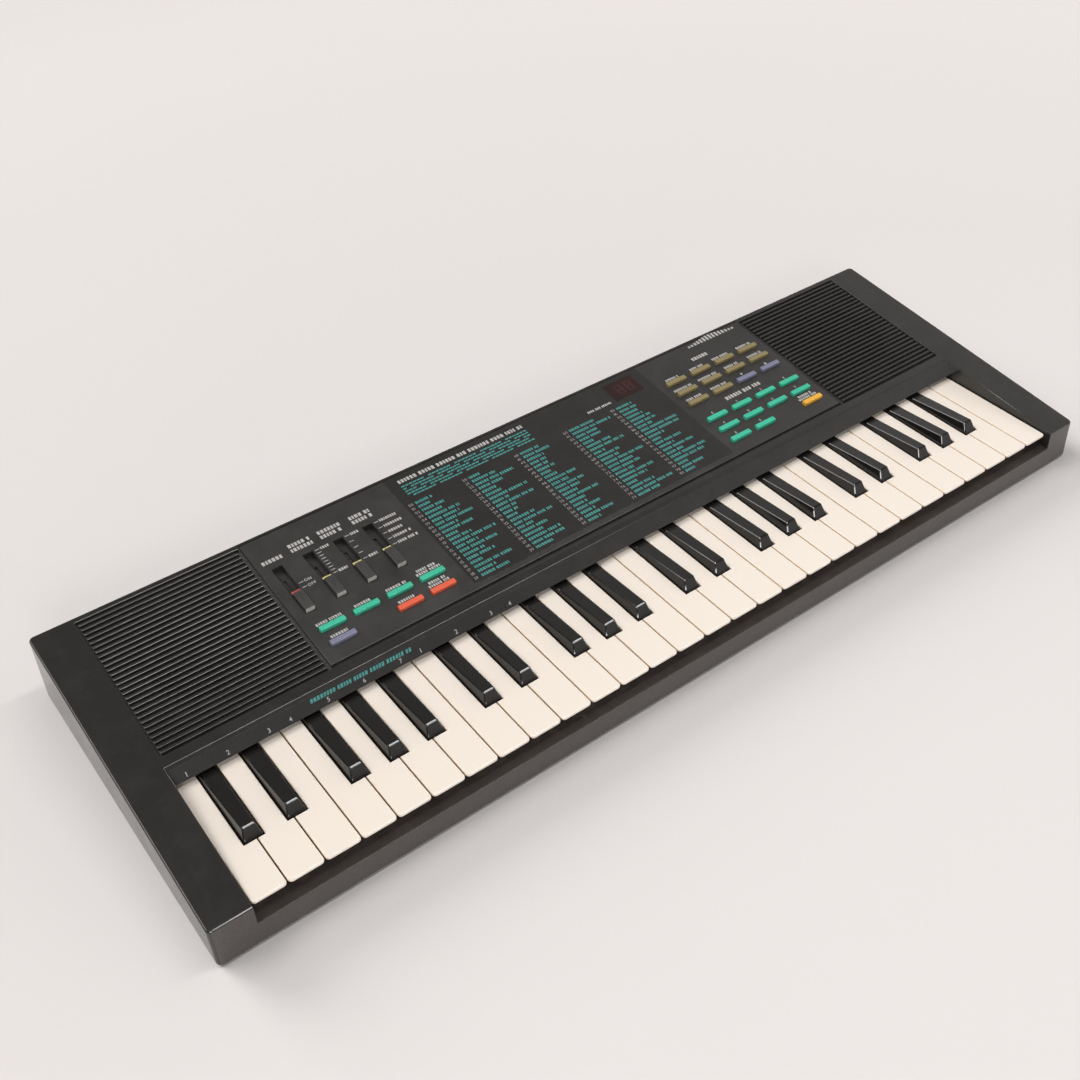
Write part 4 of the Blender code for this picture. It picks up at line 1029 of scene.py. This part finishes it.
def make_button_marks(draw):
    """Rows of blocks, digits and two arrows over the buttons, and a row of bars at the rear."""
    marks = bmesh.new()
    number = 0
    for block_x, station, rows in BLOCKS:
        for row in reversed(range(len(rows))):
            for column, tone in enumerate(rows[row]):
                x = block_x + column * BUTTON_PITCH
                y = up(station + row * BUTTON_ROW) + LABEL_UP
                if tone is None:
                    continue
                if block_x == RIGHT_X and station == LOW_ROW and tone == "green":
                    write(marks, str(number), x, y + 0.4 * MM, 2.1 * MM, centred=True)
                    number += 1
                elif tone == "lilac" and block_x == RIGHT_X:
                    tip = 1.1 * MM if column == 3 else -1.1 * MM
                    middle = y + 1.5 * MM
                    outline = [(x - 1.2 * MM, middle - tip), (x + 1.2 * MM, middle - tip),
                               (x, middle + tip)]
                    if tip < 0:
                        outline.reverse()
                    slab(marks, outline, -SUNK, PRINT)
                else:
                    length = draw.uniform(10.0, 16.0) * MM
                    words(marks, x - length / 2, y + 0.3 * MM, length, 1.9 * MM, draw)
                    if column == 3 and (row == 0 or block_x == LEFT_X):
                        words(marks, x - 0.4 * length, y + 2.8 * MM, 0.8 * length, 1.9 * MM, draw)
    words(marks, 140.0 * MM, up(184.6 * MM), 16.0 * MM, 2.8 * MM, draw)
    words(marks, 132.2 * MM, up(142.4 * MM), 31.5 * MM, 3.0 * MM, draw)
    piece("button_marks", marks, print_grey, "case")
    meter = bmesh.new()
    for index in range(METER_BARS):
        share = 0.35 + 0.65 * math.sin(math.pi * (index + 0.5) / METER_BARS) ** 2
        x = 146.5 * MM + index * 2.85 * MM
        bar(meter, x, x + 1.7 * MM, up(196.4 * MM), up(196.4 * MM) + 4.6 * share * MM)
    piece("meter_mark", meter, print_grey, "case")


# Middles of the numbers over the low white keys, in mm
STRIP_NUMBERS = (-281.4, -258.8, -235.8, -223.5, -201.3, -179.6, -156.9, -144.3, -121.1, -97.8, -85.0)


def make_wall_strip(draw):
    """The thin strip stuck on the left part of the wall behind the keys, with plain numbers."""
    work = bmesh.new()
    outline = rounded(-288.5 * MM, -68.0 * MM, 0.7 * MM, 8.4 * MM, 0.5 * MM, 3)
    slab(work, outline, -SUNK, STRIP_TOP, 0.08 * MM, 2, place=WALL_FRAME)
    piece("wall_strip", work, strip_film, "case")
    marks = bmesh.new()
    for index, x in enumerate(STRIP_NUMBERS):
        write(marks, str(index % 7 + 1), x * MM, 1.6 * MM, 2.5 * MM, STRIP_TOP, True, WALL_FRAME)
    piece("wall_numbers", marks, print_grey, "case")
    line = bmesh.new()
    words(line, -210.7 * MM, 4.9 * MM, 62.4 * MM, 2.2 * MM, draw, STRIP_TOP, 0.5 * MM, WALL_FRAME)
    piece("wall_words", line, print_teal, "case")


# Rear and underside

FEET = [(x, station) for x in (-286.5 * MM, 0.0, 286.5 * MM) for station in (18.0 * MM, 190.5 * MM)]
SCREWS = [(side * 301.05 * MM, station) for side in (-1, 1)
          for station in (33.0 * MM, 104.25 * MM, 172.0 * MM)]
FOOT_RADIUS = 7.2 * MM
SCREW_RADIUS = 2.6 * MM
COVER_GRIPS = 7


def make_underside():
    feet = bmesh.new()
    for x, station in FEET:
        slab(feet, circle(x, station, FOOT_RADIUS, 40), 0.0, BASE_Z, foot=0.5 * MM, place=LEVEL_FRAME)
    piece("rubber_feet", feet, foot_rubber, "case")
    cover = bmesh.new()
    outline = rounded(-90.0 * MM, 90.0 * MM, 131.0 * MM, 187.0 * MM, 3.0 * MM, 6)
    slab(cover, outline, BASE_Z - 0.8 * MM, BASE_Z + 0.2 * MM, foot=0.4 * MM, place=LEVEL_FRAME)
    for grip in range(COVER_GRIPS):
        station = 172.0 * MM + grip * 1.7 * MM
        ridge = rounded(-14.0 * MM, 14.0 * MM, station, station + 0.9 * MM, 0.4 * MM, 3)
        slab(cover, ridge, BASE_Z - 1.3 * MM, BASE_Z - 0.5 * MM, foot=0.3 * MM, place=LEVEL_FRAME)
    piece("battery_cover", cover, base_plastic, "case")
    heads = bmesh.new()
    crosses = bmesh.new()
    for x, station in SCREWS:
        head = circle(x, station, SCREW_RADIUS, 24)
        slab(heads, head, BASE_Z - 0.6 * MM, BASE_Z + 0.2 * MM, foot=0.3 * MM, place=LEVEL_FRAME)
        slab(crosses, cross(x, station, 1.5 * MM, 0.28 * MM), BASE_Z - 1.0 * MM, BASE_Z - 0.3 * MM,
             place=LEVEL_FRAME)
    piece("case_screws", combine(heads, crosses, 'DIFFERENCE'), steel, "case")


SOCKET_DROP = -16.6 * MM
PHONES_X = 150.0 * MM
POWER_X = 176.0 * MM
REAR_FRAME = PANEL_FRAME @ Matrix.Translation((0, REAR_FACE_UP, SOCKET_DROP)) @ Matrix.Rotation(
    -math.pi / 2, 4, 'X') @ Matrix.Rotation(math.pi, 4, 'Z')


def ring(work, x, outer, inner, low, high, sides=40, soft=0.2 * MM):
    """A round collar about an axis out of the rear face, with rounded outer rim."""
    section = ((inner, low), (outer, low), (outer, high - soft), (outer - 0.3 * soft, high - 0.3 * soft),
               (outer - soft, high), (inner + soft, high), (inner, high - soft))
    layers = [[work.verts.new(REAR_FRAME @ Vector((px, py, z)))
               for px, py in circle(-x, 0.0, radius, sides)] for radius, z in section]
    for low_ring, high_ring in zip(layers, layers[1:] + layers[:1]):
        for side in range(sides):
            after = (side + 1) % sides
            work.faces.new((low_ring[side], low_ring[after], high_ring[after], high_ring[side]))


def make_sockets():
    sleeves = bmesh.new()
    ring(sleeves, PHONES_X, 4.0 * MM, 1.72 * MM, -10.0 * MM, -0.12 * MM)
    ring(sleeves, POWER_X, 5.0 * MM, 2.72 * MM, -10.0 * MM, -0.12 * MM)
    piece("socket_sleeves", sleeves, base_plastic, "case")
    metals = bmesh.new()
    ring(metals, PHONES_X, 2.6 * MM, 1.66 * MM, -6.0 * MM, -0.05 * MM)
    ring(metals, POWER_X, 1.06 * MM, 0.3 * MM, -11.5 * MM, -2.0 * MM, 20)
    piece("socket_metal", metals, steel, "case")


WHITE_KEYS = 29
BLACK_KEYS = 20
SEED = 49


def main():
    draw = random.Random(SEED)
    make_case()
    make_panel()
    keep_node("bottom_case", base_plastic, 0.3 * MM)
    keep_node("circuit_board", board_brown, 0.2 * MM)
    for node in ("speaker_left", "speaker_right"):
        keep_node(node, cone_paper, 0.3 * MM)
    for number in range(1, WHITE_KEYS + 1):
        make_white_key(number)
    for number in range(1, BLACK_KEYS + 1):
        make_black_key(number)
    make_buttons()
    for index, name in enumerate(SLIDER_NAMES):
        make_knob(index, name)
    make_list(draw)
    make_slider_marks(draw)
    make_button_marks(draw)
    make_wall_strip(draw)
    make_underside()
    make_sockets()


main()


# Stage, light and camera

FLOOR_HALF = 9.0
FLOOR_DEPTH = 0.02


def make_floor():
    work = bmesh.new()
    outline = rectangle(-FLOOR_HALF, FLOOR_HALF, -FLOOR_HALF, FLOOR_HALF)
    slab(work, outline, -FLOOR_DEPTH, 0.0, place=WORLD_FRAME)
    floor = as_object("floor", work)
    floor.data.materials.append(floor_finish("floor_paper"))
    return floor


def make_world():
    """A pale studio, bright near the horizon and to the right, dark overhead."""
    world = bpy.data.worlds.new("studio")
    bpy.context.scene.world = world
    made = Nodes(world, "Generated")
    split = made.add("SeparateXYZ", Vector=made.place).outputs
    height = made.ramp(made.math('MULTIPLY_ADD', split["X"], -0.35, split["Z"]), 0.02, 0.75)
    height.node.interpolation_type = 'SMOOTHSTEP'
    tones = made.mix(height, colour(232, 229, 227), shade(colour(232, 230, 229), 0.22))
    background = made.nodes["Background"].inputs
    made.feed(background["Color"], tones)
    made.feed(background["Strength"], 1.0)


def aim(made, place, target):
    made.location = place
    made.rotation_mode = 'QUATERNION'
    made.rotation_quaternion = (Vector(target) - Vector(place)).to_track_quat('-Z', 'Y')


def area_light(name, place, target, wide, deep, power, only=None):
    """A soft rectangular lamp, which may be for highlights or for soft light only."""
    lamp = bpy.data.lights.new(name, 'AREA')
    lamp.shape = 'RECTANGLE'
    lamp.size = wide
    lamp.size_y = deep
    lamp.energy = power
    made = show(name, lamp)
    made.visible_diffuse = only != "highlights"
    made.visible_glossy = only != "soft light"
    aim(made, place, target)


SUN_COLOUR = (1.0, 0.985, 0.965)


def sun_light(name, direction, energy, wide):
    sun = bpy.data.lights.new(name, 'SUN')
    sun.energy = energy
    sun.angle = math.radians(wide)
    sun.color = SUN_COLOUR
    made = show(name, sun)
    aim(made, direction, (0, 0, 0))
    return made


def make_lights(floor):
    """The lamps; the low one lights the floor only, for the photograph's long soft shadow."""
    sun_light("main_light", (-0.42, 0.42, 0.85), 1.36, 32)
    low = sun_light("low_light", (-0.3, 0.85, 0.42), 2.24, 30)
    lit = bpy.data.collections.new("lit_by_low_light")
    lit.objects.link(floor)
    low.light_linking.receiver_collection = lit
    area_light("strip_light", (0.28, -0.233, 1.3), (0.28, -0.06, 0), 0.9, 0.12, 5.4)
    area_light("rim_light", (0.28, -0.233, 1.3), (0.28, -0.06, 0), 0.9, 0.2, 7.0, "highlights")
    area_light("edge_light", (0.15, -0.33, 1.3), (0.15, -0.06, 0), 1.1, 0.38, 3.0, "highlights")
    area_light("front_light", (-0.7, -1.18, 0.81), (0.12, -0.06, 0.03), 0.55, 0.28, 5.3, "soft light")
    area_light("nose_light", (-0.74, -0.95, 0.68), (0.14, -0.06, 0.03), 0.6, 0.34, 11.0, "highlights")


SENSOR = 36.0
LENS = 43.21
CAMERA_PLACE = (-0.3799, -0.43915, 0.5423)
CAMERA_FORWARD = (0.4457, 0.5933, -0.6703)
CAMERA_RIGHT = (0.7978, -0.6029, -0.0031)


def make_camera():
    """The photograph's camera: its place and the direction of its axes were solved from the keys."""
    forward = Vector(CAMERA_FORWARD).normalized()
    right = Vector(CAMERA_RIGHT)
    right = (right - right.dot(forward) * forward).normalized()
    upward = right.cross(forward)
    lens = bpy.data.cameras.new("camera")
    lens.sensor_width = SENSOR
    lens.lens = LENS
    lens.clip_start = 0.01
    made = show("camera", lens)
    turn = Matrix((right, upward, -forward)).transposed().to_4x4()
    made.matrix_world = Matrix.Translation(CAMERA_PLACE) @ turn
    bpy.context.scene.camera = made


make_world()
make_lights(make_floor())
make_camera()
bpy.context.scene.view_settings.view_transform = 'Standard'
